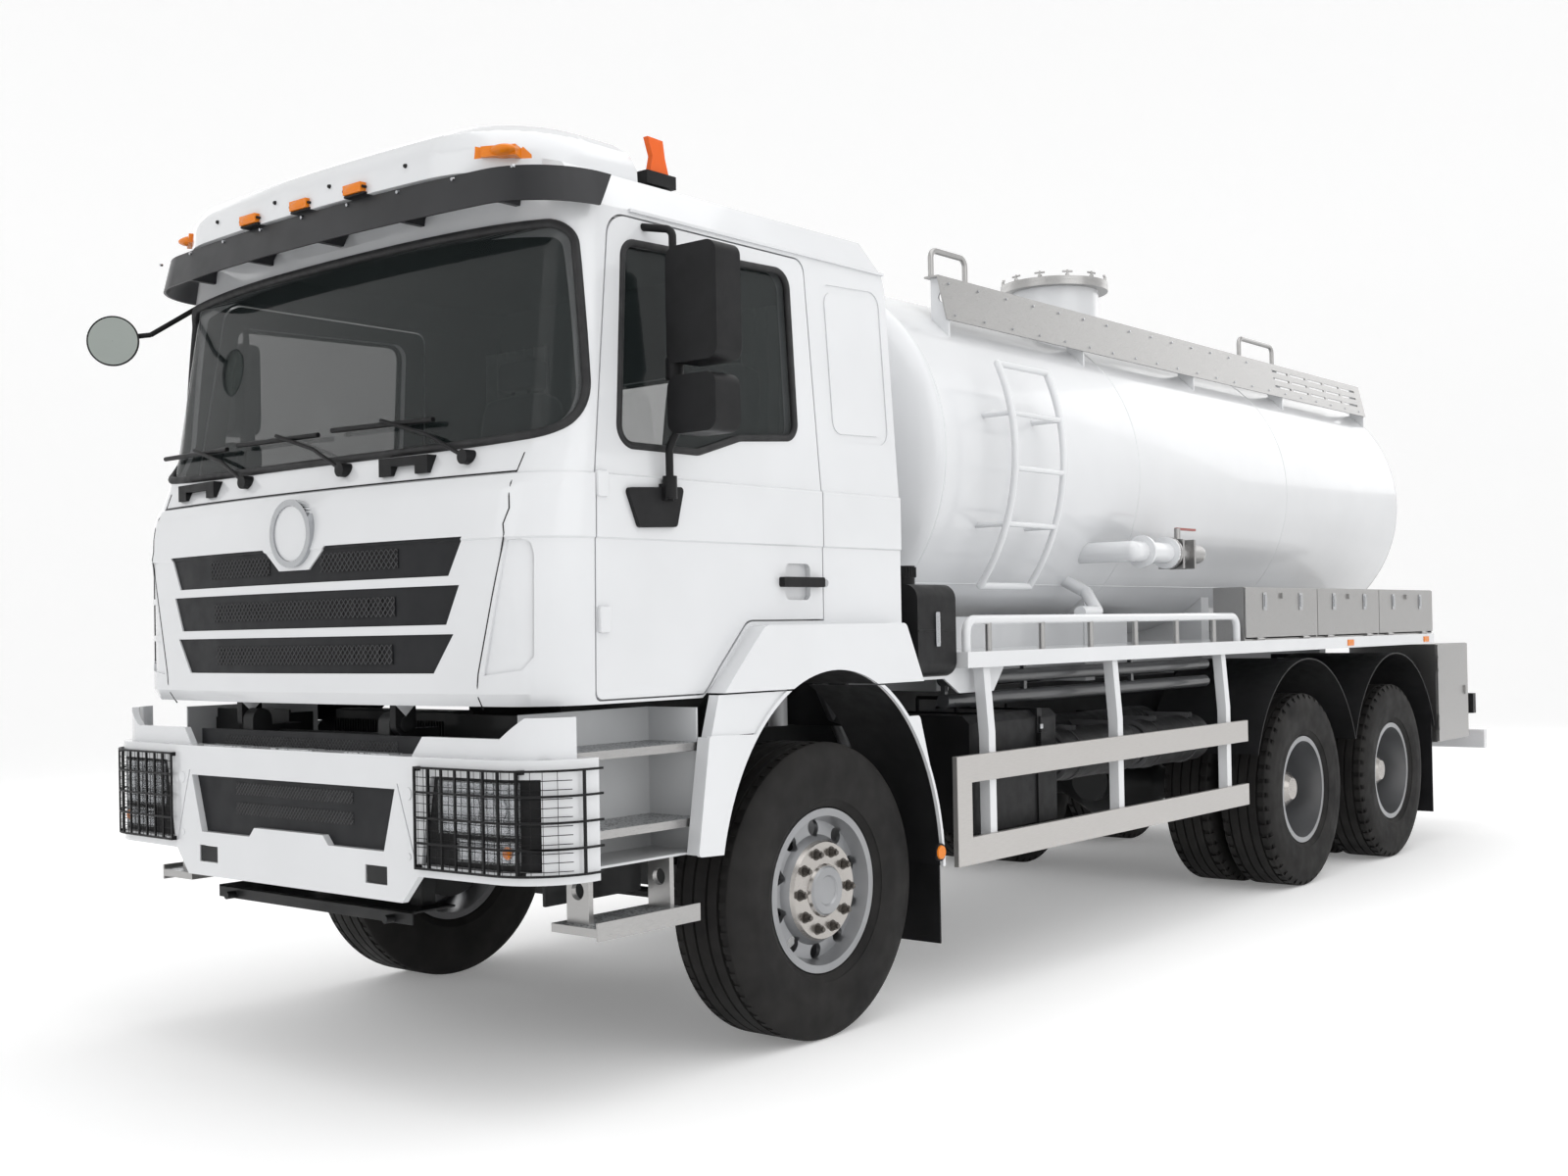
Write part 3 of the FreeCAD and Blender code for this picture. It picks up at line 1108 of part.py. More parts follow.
def hatch_lid():
    low = D.flange_top + D.lid_gap
    hinge_y, hinge_z = hatch_hinge()
    lid = fuse(rod("z", (0, D.hatch_y), D.flange_radius, (low, low + 22)),
               cone("z", (0, D.hatch_y), (230, 120), (low + 22, low + 60)))
    lid = cut(lid, *[box((x - 16, x + 16), (D.hatch_y + D.flange_radius - 45, hinge_y), (low - 5, low + 30))
                     for x in (-60, 60)])
    arm = box((-40, 40), (D.hatch_y + 200, hinge_y), (low + 4, low + 22))
    barrel = rod("x", (hinge_y, hinge_z), 13, (-44, 44))
    pin = rod("x", (hinge_y, hinge_z), 10, (-72, 72))
    return finish(fuse(lid, arm, barrel, pin), "hatch_lid")


GUSSETS = (1700, 2960, 4250, 5530, 6940)


def walkways():
    inner = D.walk_inner
    outer = D.walk_outer
    top = D.walk_top
    plate = prism("XZ", [(outer, D.walk_bottom), (inner, top), (inner - 80, top),
                         (inner - 80, top - D.plate), (inner - 8, top - D.plate),
                         (outer - 10, D.walk_bottom)], (D.walk_front, D.walk_rear))
    slots = [box((inner - 20, outer + 20), (y, y + 250), (z, z + 14))
             for z in (2985, 3035, 3085) for y in (5430, 5720, 6010, 6300, 6590)]
    plate = cut(plate, *slots)
    stands = []
    for y in GUSSETS:
        stand = prism("XZ", [(inner - 60, 2800), (outer - 12, 2800), (outer - 12, D.walk_bottom),
                             (inner - 8, top - D.plate), (inner - 60, top - D.plate)],
                      (y - 5, y + 5))
        stands.append(cut(stand, rod("y", (inner + 8, 3040), 26, (y - 10, y + 10)), tank_body()))
    hoops = [bent_tube([(inner - 60, a, top - 8), (inner - 60, a, top + 130), (inner - 60, b, top + 130),
                        (inner - 60, b, top - 8)], 14, 40) for a, b in ((1700, 1990), (5100, 5600))]
    front_hoop = bent_tube([(-(inner - 60), 1700, top - 8), (-(inner - 60), 1700, top + 130),
                            (-(inner - 60), 1990, top + 130), (-(inner - 60), 1990, top - 8)], 14, 40)
    item = fuse(plate, *stands)
    left = fuse(item, *hoops)
    right = fuse(mirrored(item), front_hoop)
    return finish(group(left, right), "walkways")


def tank_ladder():
    """A closed loop of tube whose rails follow the curve of the tank."""
    reach = D.tank_radius + 150
    centre = D.tank_centre
    ends = (1670, 2100)

    def out(z):
        return math.sqrt(number(reach) ** 2 - (z - number(centre)) ** 2)

    items = []
    for y in ends:
        rail = doc.addObject("Part::Torus", "Rail")
        bind(rail, "Radius1", reach)
        bind(rail, "Radius2", D.ladder_tube)
        rail.Angle3 = 61
        flat = FreeCAD.Rotation(V(1, 0, 0), -90)
        rail.Placement.Rotation = flat * FreeCAD.Rotation(V(0, 0, 1), -24)
        items.append(place(rail, 0, y, centre))
    for turn in (24, -37):
        z = number(centre) + number(reach) * math.sin(math.radians(turn))
        items.append(rod("y", (out(z), z), D.ladder_tube, ends))
        for y in ends:
            knob = doc.addObject("Part::Sphere", "Knob")
            bind(knob, "Radius", D.ladder_tube)
            items.append(place(knob, out(z), y, z))
    for z in (1960, 2210, 2460):
        items.append(rod("y", (out(z), z), 13, ends))
    for z in (1960, 2460):
        for y in ends:
            items.append(rod("x", (y, z), 12, (700, out(z))))
    return finish(cut(fuse(*items), tank_body()), "tank_ladder")


def pipework():
    x = 1000
    z = 1860
    knee = doc.addObject("Part::Sphere", "Knee")
    knee.Radius = 52
    place(knee, x, 2760, z)
    end = doc.addObject("Part::Sphere", "End")
    end.Radius = 50
    place(end, x, 3480, z)
    suction = fuse(rod("y", (x, z), 52, (2760, 3130)), rod("y", (x, z), 50, (3130, 3480)), knee, end,
                   rod("x", (2760, z), 52, (700, x)), rod("x", (3480, z), 40, (700, x)),
                   *[rod("y", (x, z), 82, (y, y + 18)) for y in (2850, 3120, 3142)],
                   *[box((x - 70, x + 70), (3180 + step, 3200 + step), (z - 82, z + 70)) for step in (0, 130)],
                   rod("z", (x, 3260), 16, (z, z + 130)), box((x - 10, x + 10), (3250, 3460), (z + 122, z + 134)))
    vent = bent_tube([(385, 700, D.rail_top), (385, 700, 2860), (330, 900, 3040), (220, 1500, 3060)], 42, 60)
    band = [rod("z", (385, 700), 50, (2500, 2520)), rod("z", (385, 700), 50, (1500, 1520))]
    rear = bent_tube([(420, 6900, 1790), (420, 7330, 1790), (420, 7330, 1560), (420, 7200, 1480)], 45, 80)
    rear_set = fuse(rear, *[rod("y", (420, 1790), 70, (y, y + 16)) for y in (7120, 7150, 7230)],
                    rod("z", (420, 7190), 14, (1790, 1900)), rod("x", (7190, 1900), 60, (410, 430)))
    runs = [rod("y", (1060, height), 30, (960, 3420)) for height in (1190, 1280)]
    ties = [box((1050, 1070), (y - 12, y + 12), (1190, D.deck_top - 60)) for y in (972, 1600, 2600)]
    lines = fuse(*runs, *ties)
    return finish(cut(group(suction, fuse(vent, *band), rear_set, lines), tank_body()), "pipework")


def battery_box():
    item = box((640, 1160), (1000, 1700), (640, 1100))
    lid = prism("XZ", [(635, 1095), (1165, 1095), (1130, 1128), (670, 1128)], (995, 1705))
    straps = [box((634, 1168), (y, y + 40), (634, 1136)) for y in (1130, 1530)]
    bracket = box((D.rail_outer, 650), (1100, 1600), (900, 1000))
    return finish(fuse(item, lid, *straps, bracket), "battery_box")


def side_tanks():
    parts = []
    for x, z, y in ((1010, 900, (1840, 2560)), (1010, 900, (2640, 3360)), (760, 940, (1840, 3300))):
        parts.append(rod("y", (x, z), 120, (y[0] + 30, y[1] - 30)))
        parts.append(rod("y", (x, z), 100, y))
        for band_y in (y[0] + 150, y[1] - 180):
            parts.append(rod("y", (x, z), 125, (band_y, band_y + 30)))
    shelf = [box((D.rail_outer, 1080), (y - 20, y + 20), (1010, 1034)) for y in (2000, 2400, 2800, 3200)]
    air = fuse(*parts, *shelf)
    fuel = fuse(box((-1160, -640), (1000, 2200), (560, 1120)),
                box((-650, -D.rail_outer), (1100, 2100), (900, 1000)))
    reservoir = prism("XZ", [(760, 1300), (1200, 1300), (1200, 1670), (760, 1670)], (588, 858),
                      rounds=[(60, (0, 1, 2, 3))])
    damper = bent_tube([(620, 690, 1290), (620, 905, 950)], 30, 0)
    oil = fuse(reservoir, rod("z", (1040, 723), 46, (1660, 1722)),
               box((345, 700), (770, 790), (D.rail_top, 1284)), box((690, 790), (770, 790), (1300, 1330)),
               box((600, 700), (770, 790), (1280, 1330)), damper,
               box((D.rail_outer, 625), (870, 920), (930, 990)))
    return finish(group(air, fuel, oil), "side_tanks")


def rear_mudguards():
    x = (D.guard_inner, D.guard_outer)
    skin = D.guard_skin
    items = []
    for axle_y in (D.axle_two_y, AXLE_THREE):
        ring = cut(rod("x", (axle_y, D.tyre_radius), D.guard_radius, x),
                   rod("x", (axle_y, D.tyre_radius), D.guard_radius - skin, (x[0] - 5, x[1] + 5)))
        near = D.axle_two_y + D.axle_gap / 2
        if axle_y is D.axle_two_y or number(axle_y) < 5000:
            zone = box((x[0] - 5, x[1] + 5), (axle_y - 800, near), (785, 1300))
        else:
            zone = box((x[0] - 5, x[1] + 5), (near, axle_y + 800), (785, 1300))
        items.append(common(ring, zone))
    flap = box((x[0] + 10, x[1] - 10), (6440, 6448), (D.guard_flap_bottom, 900))
    crest = D.tyre_radius + D.guard_radius - 4
    stays = [fuse(box((D.rail_outer, x[0] + 30), (y - 20, y + 20), (crest - 26, crest)),
                  box((D.rail_outer, D.rail_outer + 26), (y - 20, y + 20), (960, crest)))
             for y in (D.axle_two_y, AXLE_THREE)]
    stay = box((D.rail_outer, x[0] + 20), (6420, 6452), (850, 890))
    return finish(pair(fuse(*items, flap, *stays, stay)), "rear_mudguards")


def toolbox_bays():
    third = (D.box_rear - D.box_front) / 3
    return [(D.box_front + third * i, D.box_front + third * (i + 1)) for i in range(3)]


def door_hinges(axis, near, spots):
    """Barrels for a door and the pins and lugs that its case carries, along Y or Z."""
    out = D.box_outer + D.hinge_out
    case_face = D.box_outer - D.box_door - 1
    barrels = []
    pins = []
    for spot in spots:
        if axis == "y":
            centre = (out, near)
            tab = box((D.box_outer - 6, D.box_outer), (spot - 36, spot + 36), (near, near + 14))
            lugs = [box((case_face - 8, out + 5), (end, end + 12), (near - 7, near + 5))
                    for end in (spot - 50, spot + 38)]
        else:
            centre = (out, near)
            tab = box((D.box_outer - 6, D.box_outer), (near, near + 14), (spot - 36, spot + 36))
            lugs = [box((case_face - 8, out + 5), (near - 7, near + 5), (end, end + 12))
                    for end in (spot - 50, spot + 38)]
        barrel = fuse(rod(axis, centre, D.hinge_barrel, (spot - 36, spot + 36)), tab)
        barrels.append(cut(barrel, rod(axis, centre, D.hinge_pin + 0.05, (spot - 40, spot + 40))))
        pins.append(fuse(rod(axis, centre, D.hinge_pin, (spot - 48, spot + 48)), *lugs))
    return barrels, pins


def toolboxes():
    x = (D.box_inner, D.box_outer - D.box_door - 1)
    z = (D.deck_top, D.box_top)
    wall = D.box_wall
    case = box(x, (D.box_front, D.box_rear), z)
    bays = []
    pins = []
    for low, high in toolbox_bays():
        bays.append(box((x[0] + wall, x[1] + 10), (low + wall, high - wall), (z[0] + wall, z[1] - wall)))
        pins += door_hinges("y", D.deck_top + D.hinge_up, (low + 180, high - 180))[1]
    long_box = fuse(cut(case, *bays), *pins)
    cx = (D.cabinet_inner, x[1])
    cy = (D.cabinet_front, D.cabinet_rear)
    cz = (D.cabinet_bottom, D.cabinet_top)
    cabinet = cut(box(cx, cy, cz), box((cx[0] + wall, cx[1] + 10), (cy[0] + wall, cy[1] - wall), (cz[0] + wall, cz[1] - wall)))
    hang = box((D.rail_outer, cx[0] + 4), (cy[0] + 100, cy[1] - 100), (950, 1050))
    pins = door_hinges("z", D.cabinet_front + D.hinge_up, (cz[0] + 130, cz[1] - 130))[1]
    return finish(group(pair(long_box), pair(fuse(cabinet, hang, *pins))), "toolboxes")


def toolbox_doors():
    x = (D.box_outer - D.box_door, D.box_outer)
    for side, name in ((1, "left"), (-1, "right")):
        for index, (low, high) in enumerate(toolbox_bays(), 1):
            leaf = box(x, (low + 4, high - 4), (D.deck_top + D.hinge_up + 8, D.box_top - 4))
            middle = (low + high) / 2
            latch = box((x[1], x[1] + 12), (middle - 30, middle + 30), (D.box_top - 60, D.box_top - 30))
            barrels = door_hinges("y", D.deck_top + D.hinge_up, (low + 180, high - 180))[0]
            item = fuse(leaf, latch, *barrels)
            if side < 0:
                item = mirrored(item)
            finish(item, f"tool_door_{name}_{index}")
        leaf = box(x, (D.cabinet_front + D.hinge_up + 8, D.cabinet_rear - 4), (D.cabinet_bottom + 4, D.cabinet_top - 4))
        ring = box((x[1], x[1] + 12), (D.cabinet_rear - 90, D.cabinet_rear - 50), (970, 1030))
        barrels = door_hinges("z", D.cabinet_front + D.hinge_up, (D.cabinet_bottom + 130, D.cabinet_top - 130))[0]
        item = fuse(leaf, ring, *barrels)
        if side < 0:
            item = mirrored(item)
        finish(item, f"cabinet_door_{name}")


def rear_bumper():
    bar = box((-1200, 1200), (D.rear_reach - 60, D.rear_reach), (560, 690))
    legs = [box((x - 40, x + 40), (D.rear_reach - 180, D.rear_reach - 50), (600, 950)) for x in (-385, 385)]
    links = [box((x - 40, x + 40), (D.rail_rear, D.rear_reach - 100), (840, 950)) for x in (-385, 385)]
    lamps = [box((x - 150, x + 150), (D.rear_reach - 290, D.rear_reach - 230), (820, 960)) for x in (-1050, 1050)]
    lamp_bar = box((-1100, 1100), (D.rear_reach - 240, D.rear_reach - 200), (860, 900))
    return finish(fuse(bar, *legs, *links, *lamps, lamp_bar), "rear_bumper")


wheels()
axles()
steering()
frame()
leaf_springs()
engine()
bumper()
headlamps()
lamp_guards()
steps()
front_mudguards()
cab()
cab_grilles()
roof_cap()
visor()
wipers()
round_mirror()
dashboard()
seats()
mirrors(1, "mirrors_left")
mirrors(-1, "mirrors_right")
deck()
deck_rails()
side_guards()
tank()
hatch_lid()
walkways()
tank_ladder()
pipework()
battery_box()
side_tanks()
rear_mudguards()
toolboxes()
toolbox_doors()
rear_bumper()
doc.recompute()

bad = [o.Label for o in doc.Objects if "Invalid" in o.State or "Error" in o.State]
for obj in finished:
    if obj.Shape.isNull() or not obj.Shape.isValid() or not obj.Shape.Solids:
        bad.append(obj.Label)
if bad:
    raise RuntimeError("Not built: " + ", ".join(bad))
os.makedirs("parts", exist_ok=True)
for obj in finished:
    obj.Shape.exportStep(f"parts/{obj.Label}.step")
print(len(finished), "pieces")
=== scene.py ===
import json
import math
import bmesh
import bpy
from mathutils import Matrix, Vector

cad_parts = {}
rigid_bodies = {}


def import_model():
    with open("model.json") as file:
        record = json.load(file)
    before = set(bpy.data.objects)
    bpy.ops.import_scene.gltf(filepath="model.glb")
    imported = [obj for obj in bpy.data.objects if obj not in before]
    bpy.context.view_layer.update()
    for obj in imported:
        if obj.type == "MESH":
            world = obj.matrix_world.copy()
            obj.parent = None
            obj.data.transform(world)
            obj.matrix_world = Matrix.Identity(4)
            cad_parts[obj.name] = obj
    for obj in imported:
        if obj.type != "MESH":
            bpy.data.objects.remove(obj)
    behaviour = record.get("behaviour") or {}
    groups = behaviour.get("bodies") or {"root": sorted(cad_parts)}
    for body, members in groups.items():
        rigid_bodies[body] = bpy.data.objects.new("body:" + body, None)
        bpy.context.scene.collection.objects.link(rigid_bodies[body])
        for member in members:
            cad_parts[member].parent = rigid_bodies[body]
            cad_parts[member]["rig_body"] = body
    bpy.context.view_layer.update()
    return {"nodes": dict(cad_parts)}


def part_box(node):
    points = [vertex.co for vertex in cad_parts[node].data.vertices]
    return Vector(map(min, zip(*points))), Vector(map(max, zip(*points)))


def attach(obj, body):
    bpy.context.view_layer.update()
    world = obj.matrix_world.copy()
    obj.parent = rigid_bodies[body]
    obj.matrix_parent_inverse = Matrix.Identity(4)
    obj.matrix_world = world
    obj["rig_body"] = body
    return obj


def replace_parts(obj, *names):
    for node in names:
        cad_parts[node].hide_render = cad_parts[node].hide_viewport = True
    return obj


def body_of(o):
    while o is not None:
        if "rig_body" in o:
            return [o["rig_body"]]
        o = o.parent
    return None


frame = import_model()

# Camera
# The photograph was taken at chest height from ahead of the truck's left corner, with a
# lens a little longer than a normal one. Its direction is an azimuth, an elevation and a roll.
TYRE_LOW, TYRE_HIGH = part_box("tyre_front_left")
AXLE_Y = TYRE_LOW.y + (TYRE_HIGH.z - TYRE_LOW.z) / 2
FRONT_AXLE = Vector((0, AXLE_Y, 0))
CAMERA_AT = Vector((4.98910, AXLE_Y - 4.86101, 1.49930))
CAMERA_AZIMUTH = math.radians(39.34689)
CAMERA_ELEVATION = math.radians(-0.50625)
CAMERA_ROLL = math.radians(-1.07355)
FOCAL_PIXELS = 1719.262
AXIS_ROW = 627.4
PHOTO_WIDTH = 1600
PHOTO_HEIGHT = 1200
SENSOR = 36.0


def camera_turn():
    ahead = Vector((-math.sin(CAMERA_AZIMUTH) * math.cos(CAMERA_ELEVATION),
                    math.cos(CAMERA_AZIMUTH) * math.cos(CAMERA_ELEVATION),
                    -math.sin(CAMERA_ELEVATION)))
    level = ahead.cross(Vector((0, 0, 1))).normalized()
    upright = level.cross(ahead)
    right = math.cos(CAMERA_ROLL) * level + math.sin(CAMERA_ROLL) * upright
    up = -math.sin(CAMERA_ROLL) * level + math.cos(CAMERA_ROLL) * upright
    return Matrix((right, up, -ahead)).transposed().to_4x4()


camera = bpy.data.objects.new("Camera", bpy.data.cameras.new("Camera"))
bpy.context.scene.collection.objects.link(camera)
camera.data.sensor_width = SENSOR
camera.data.lens = FOCAL_PIXELS / PHOTO_WIDTH * SENSOR
camera.data.shift_y = (AXIS_ROW - PHOTO_HEIGHT / 2) / PHOTO_WIDTH
camera.data.clip_end = 200
camera.matrix_world = Matrix.Translation(CAMERA_AT) @ camera_turn()
bpy.context.scene.camera = camera


# Floor and light
# A white studio floor that curves up into a wall all round, lit by large soft panels
# overhead and on all four sides and by an even white sky.
class Value:
    """A number that varies over a surface, with its sums written as in Python."""

    def __init__(self, look, socket):
        self.look = look
        self.socket = socket

    def sum(self, operation, first, second):
        return self.look.node("ShaderNodeMath", {"operation": operation}, {0: first, 1: second})

    def __add__(self, other):
        return self.sum("ADD", self, other)

    __radd__ = __add__

    def __mul__(self, other):
        return self.sum("MULTIPLY", self, other)

    __rmul__ = __mul__


class Look:
    """A finish: one Principled shader and the nodes that vary it over the surface."""

    def __init__(self, name, **sockets):
        self.material = bpy.data.materials.new(name)
        self.material.use_nodes = True
        self.tree = self.material.node_tree
        self.shader = self.tree.nodes["Principled BSDF"]
        for socket, value in sockets.items():
            self.set(socket.replace("_", " "), value)

    def set(self, socket, value):
        if isinstance(value, Value):
            self.tree.links.new(value.socket, self.shader.inputs[socket])
        else:
            self.shader.inputs[socket].default_value = value
        return self

    def node(self, kind, settings, sockets, output=0):
        made = self.tree.nodes.new(kind)
        for name, value in settings.items():
            if name == "stops":
                self.stops(made.color_ramp, value)
            else:
                setattr(made, name, value)
        for name, value in sockets.items():
            if isinstance(value, Value):
                self.tree.links.new(value.socket, made.inputs[name])
            else:
                made.inputs[name].default_value = value
        return Value(self, made.outputs[output])

    def stops(self, ramp, stops):
        for spot, (place, shade) in zip(list(ramp.elements) + [None] * len(stops), stops):
            spot = spot or ramp.elements.new(place)
            spot.position = place
            spot.color = (shade, shade, shade, 1)

    def place(self, scale=(1, 1, 1)):
        """Object coordinates in metres, stretched by scale."""
        where = self.node("ShaderNodeTexCoord", {}, {}, "Object")
        return self.node("ShaderNodeMapping", {}, {"Vector": where, "Scale": scale})

    def noise(self, scale, detail=3, stretch=(1, 1, 1), low=0.3, high=0.7):
        """Cloudy variation from 0 to 1, whose clouds measure about a metre divided by scale."""
        cloud = self.node("ShaderNodeTexNoise", {},
                          {"Vector": self.place(stretch), "Scale": scale, "Detail": detail}, "Fac")
        return self.node("ShaderNodeValToRGB", {"stops": [(low, 0), (high, 1)]}, {"Fac": cloud})

    def shade(self, share, first, second):
        """A base colour that wanders between two others."""
        ends = {0: share, 6: (*first, 1), 7: (*second, 1)}
        return self.set("Base Color", self.node("ShaderNodeMix", {"data_type": "RGBA"}, ends, 2))

    def rough(self, least, more, scale):
        """Roughness that wanders upwards from its least value."""
        return self.set("Roughness", least + more * self.noise(scale))

    def relief(self, height, depth, strength=0.5):
        bump = self.node("ShaderNodeBump", {}, {"Height": height, "Distance": depth, "Strength": strength})
        return self.set("Normal", bump)


def grey(value):
    """A neutral colour."""
    return (value, value, value, 1)


FLOOR_RADIUS = 26
COVE_RADIUS = 12
WALL_HEIGHT = 26


def studio_floor():
    bm = bmesh.new()
    profile = [bm.verts.new((0, 0, 0)), bm.verts.new((FLOOR_RADIUS, 0, 0))]
    for step in range(1, 9):
        turn = math.radians(90 * step / 8)
        profile.append(bm.verts.new((FLOOR_RADIUS + COVE_RADIUS * math.sin(turn), 0,
                                     COVE_RADIUS * (1 - math.cos(turn)))))
    profile.append(bm.verts.new((FLOOR_RADIUS + COVE_RADIUS, 0, WALL_HEIGHT)))
    edges = [bm.edges.new(ends) for ends in zip(profile, profile[1:])]
    bmesh.ops.spin(bm, geom=profile + edges, axis=(0, 0, 1), cent=(0, 0, 0), angle=math.tau,
                   steps=64, use_merge=True)
    bmesh.ops.remove_doubles(bm, verts=bm.verts, dist=0.001)
    for face in bm.faces:
        face.smooth = True
        if face.normal.z < 0 or face.normal.dot(face.calc_center_median()) > 0.01:
            face.normal_flip()
    mesh = bpy.data.meshes.new("studio_floor")
    bm.to_mesh(mesh)
    floor = bpy.data.objects.new("studio_floor", mesh)
    bpy.context.scene.collection.objects.link(floor)
    paper = Look("floor_paper", Base_Color=grey(0.93), Roughness=0.9)
    paper.rough(0.86, 0.1, 0.8)
    paper.set("Emission Color", grey(1.0)).set("Emission Strength", 0.17)
    mesh.materials.append(paper.material)


def soft_panel(name, at, towards, size, power):
    light = bpy.data.objects.new(name, bpy.data.lights.new(name, "AREA"))
    bpy.context.scene.collection.objects.link(light)
    light.data.shape = "RECTANGLE"
    light.data.size, light.data.size_y = size
    light.data.energy = power
    light.location = at
    light.rotation_euler = (Vector(towards) - Vector(at)).to_track_quat("-Z", "Y").to_euler()


studio_floor()
soft_panel("top_panel", (1.5, -1.0, 9.5), (0, 0, 0), (9, 14), 420)
soft_panel("left_panel", (11, -3.5, 6.0), (0, -0.5, 1.2), (9, 7), 160)
soft_panel("front_panel", (-1.5, -14, 6.5), (0, -4, 1.5), (8, 6), 90)
soft_panel("right_panel", (-11, 1, 6.0), (0, 0, 1.5), (9, 7), 120)
soft_panel("rear_panel", (2, 13, 6.5), (0, 3, 1.5), (8, 6), 120)
sky = bpy.data.worlds.new("white_sky")
sky.use_nodes = True
sky.node_tree.nodes["Background"].inputs["Color"].default_value = (1, 1, 1, 1)
sky.node_tree.nodes["Background"].inputs["Strength"].default_value = 0.72
bpy.context.scene.world = sky
bpy.context.scene.view_settings.view_transform = "Standard"


# Frame, axles and engine
# Pressed steel channels, leaf springs and axles under black chassis paint, the engine
# block between the rails, and everything there a little dusty and scuffed.
def joined(node):
    """A CAD node's own shape with its loose triangles joined."""
    bm = bmesh.new()
    bm.from_mesh(frame["nodes"][node].data)
    bmesh.ops.remove_doubles(bm, verts=bm.verts, dist=0.00002)
    bm.normal_update()
    return bm


def piece(name, bm, body, *looks, crease=35, bevel=0):
    """A finished object that rides on a body: smooth faces, sharp corners, one or more looks."""
    for face in bm.faces:
        face.smooth = True
    for edge in bm.edges:
        edge.smooth = len(edge.link_faces) == 2 and edge.calc_face_angle(0) < math.radians(crease)
    mesh = bpy.data.meshes.new(name)
    bm.to_mesh(mesh)
    bm.free()
    made = bpy.data.objects.new(name, mesh)
    bpy.context.scene.collection.objects.link(made)
    for look in looks:
        mesh.materials.append(look.material)
    if bevel:
        soft = made.modifiers.new("soft_edges", "BEVEL")
        soft.width = bevel
        soft.segments = 2
        soft.limit_method = "ANGLE"
        soft.angle_limit = math.radians(40)
    made.modifiers.new("even_shading", "WEIGHTED_NORMAL").keep_sharp = True
    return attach(made, body)


def dressed(node, *looks, pick=None, splits=(), crease=35, bevel=0):
    """The node's own shape with a finish; pick chooses a look from a face's middle and normal.
    Faces that reach across one of the splits are first cut there, at that x on both sides."""
    bm = joined(node)
    for x in [sign * split for split in splits for sign in (1, -1)]:
        bmesh.ops.bisect_plane(bm, geom=bm.verts[:] + bm.edges[:] + bm.faces[:], dist=0.00001,
                               plane_co=(x, 0, 0), plane_no=(1, 0, 0))
    if pick:
        for face in bm.faces:
            face.material_index = pick(face.calc_center_median() - FRONT_AXLE, face.normal)
    if bevel:
        bmesh.ops.dissolve_limit(bm, angle_limit=math.radians(1), verts=bm.verts, edges=bm.edges,
                                 delimit={"MATERIAL"})
    body = body_of(frame["nodes"][node])[0]
    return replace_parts(piece(node + "_finish", bm, body, *looks, crease=crease, bevel=bevel), node)


def paint(name, colour, rough, peel=0.00002):
    """Sprayed paint with a clear coat, slightly cloudy in colour and gloss."""
    look = Look(name, Roughness=rough, Coat_Weight=0.5, Coat_Roughness=0.06)
    look.shade(look.noise(1.7), colour, [part * 0.94 for part in colour])
    look.set("Roughness", rough * 0.85 + rough * 0.3 * look.noise(6.0))
    return look.relief(look.noise(420, detail=1), peel, 0.35)


chassis_paint = paint("chassis_paint", (0.008, 0.0085, 0.009), 0.55)
chassis_paint.set("Coat Weight", 0.1).set("Specular IOR Level", 0.3)
for node in ("frame", "axles", "leaf_springs", "engine", "knuckle_left", "knuckle_right", "tie_rod"):
    dressed(node, chassis_paint)


# Wheels
# Steer tyres with straight ribs and drive tyres with shoulder lugs on ten-stud disc wheels.
# The discs are pressed steel in silver paint, with plated nuts and a plain pressed hub cap.
TYRE_RADIUS = 0.5425
TREAD_STEPS = 132
TWIN_TYRES_X = (1.070, 0.735)
REAR_AXLES = ((2, 4.375), (3, 5.775))
NUT_CIRCLE = 0.142
NUT_RADIUS = 0.0165
SIDES = ((1, "left"), (-1, "right"))


def moved(bm, where):
    """A bmesh shifted to its place."""
    bmesh.ops.translate(bm, verts=bm.verts, vec=where)
    return bm


def turned(bm, degrees, axis):
    """A bmesh turned about one of the axes through the origin."""
    bmesh.ops.rotate(bm, verts=bm.verts, matrix=Matrix.Rotation(math.radians(degrees), 3, axis))


def other_side(bm):
    """The same piece for the right side."""
    bmesh.ops.scale(bm, verts=bm.verts, vec=(-1, 1, 1))
    bmesh.ops.reverse_faces(bm, faces=bm.faces)
    return bm


def gathered(parts):
    """Several bmeshes in one."""
    whole = bmesh.new()
    for part in parts:
        mesh = bpy.data.meshes.new("part")
        part.to_mesh(mesh)
        part.free()
        whole.from_mesh(mesh)
        bpy.data.meshes.remove(mesh)
    return whole


def spun(profile, steps):
    """A closed ring turned about the x axis from a profile of (x, radius)."""
    bm = bmesh.new()
    points = [bm.verts.new((across, 0, radius)) for across, radius in profile]
    edges = [bm.edges.new(ends) for ends in zip(points, points[1:] + points[:1])]
    bmesh.ops.spin(bm, geom=points + edges, cent=(0, 0, 0), axis=(1, 0, 0), angle=math.tau,
                   steps=steps, use_merge=True)
    bmesh.ops.remove_doubles(bm, verts=bm.verts, dist=0.00005)
    bmesh.ops.recalc_face_normals(bm, faces=bm.faces)
    return bm


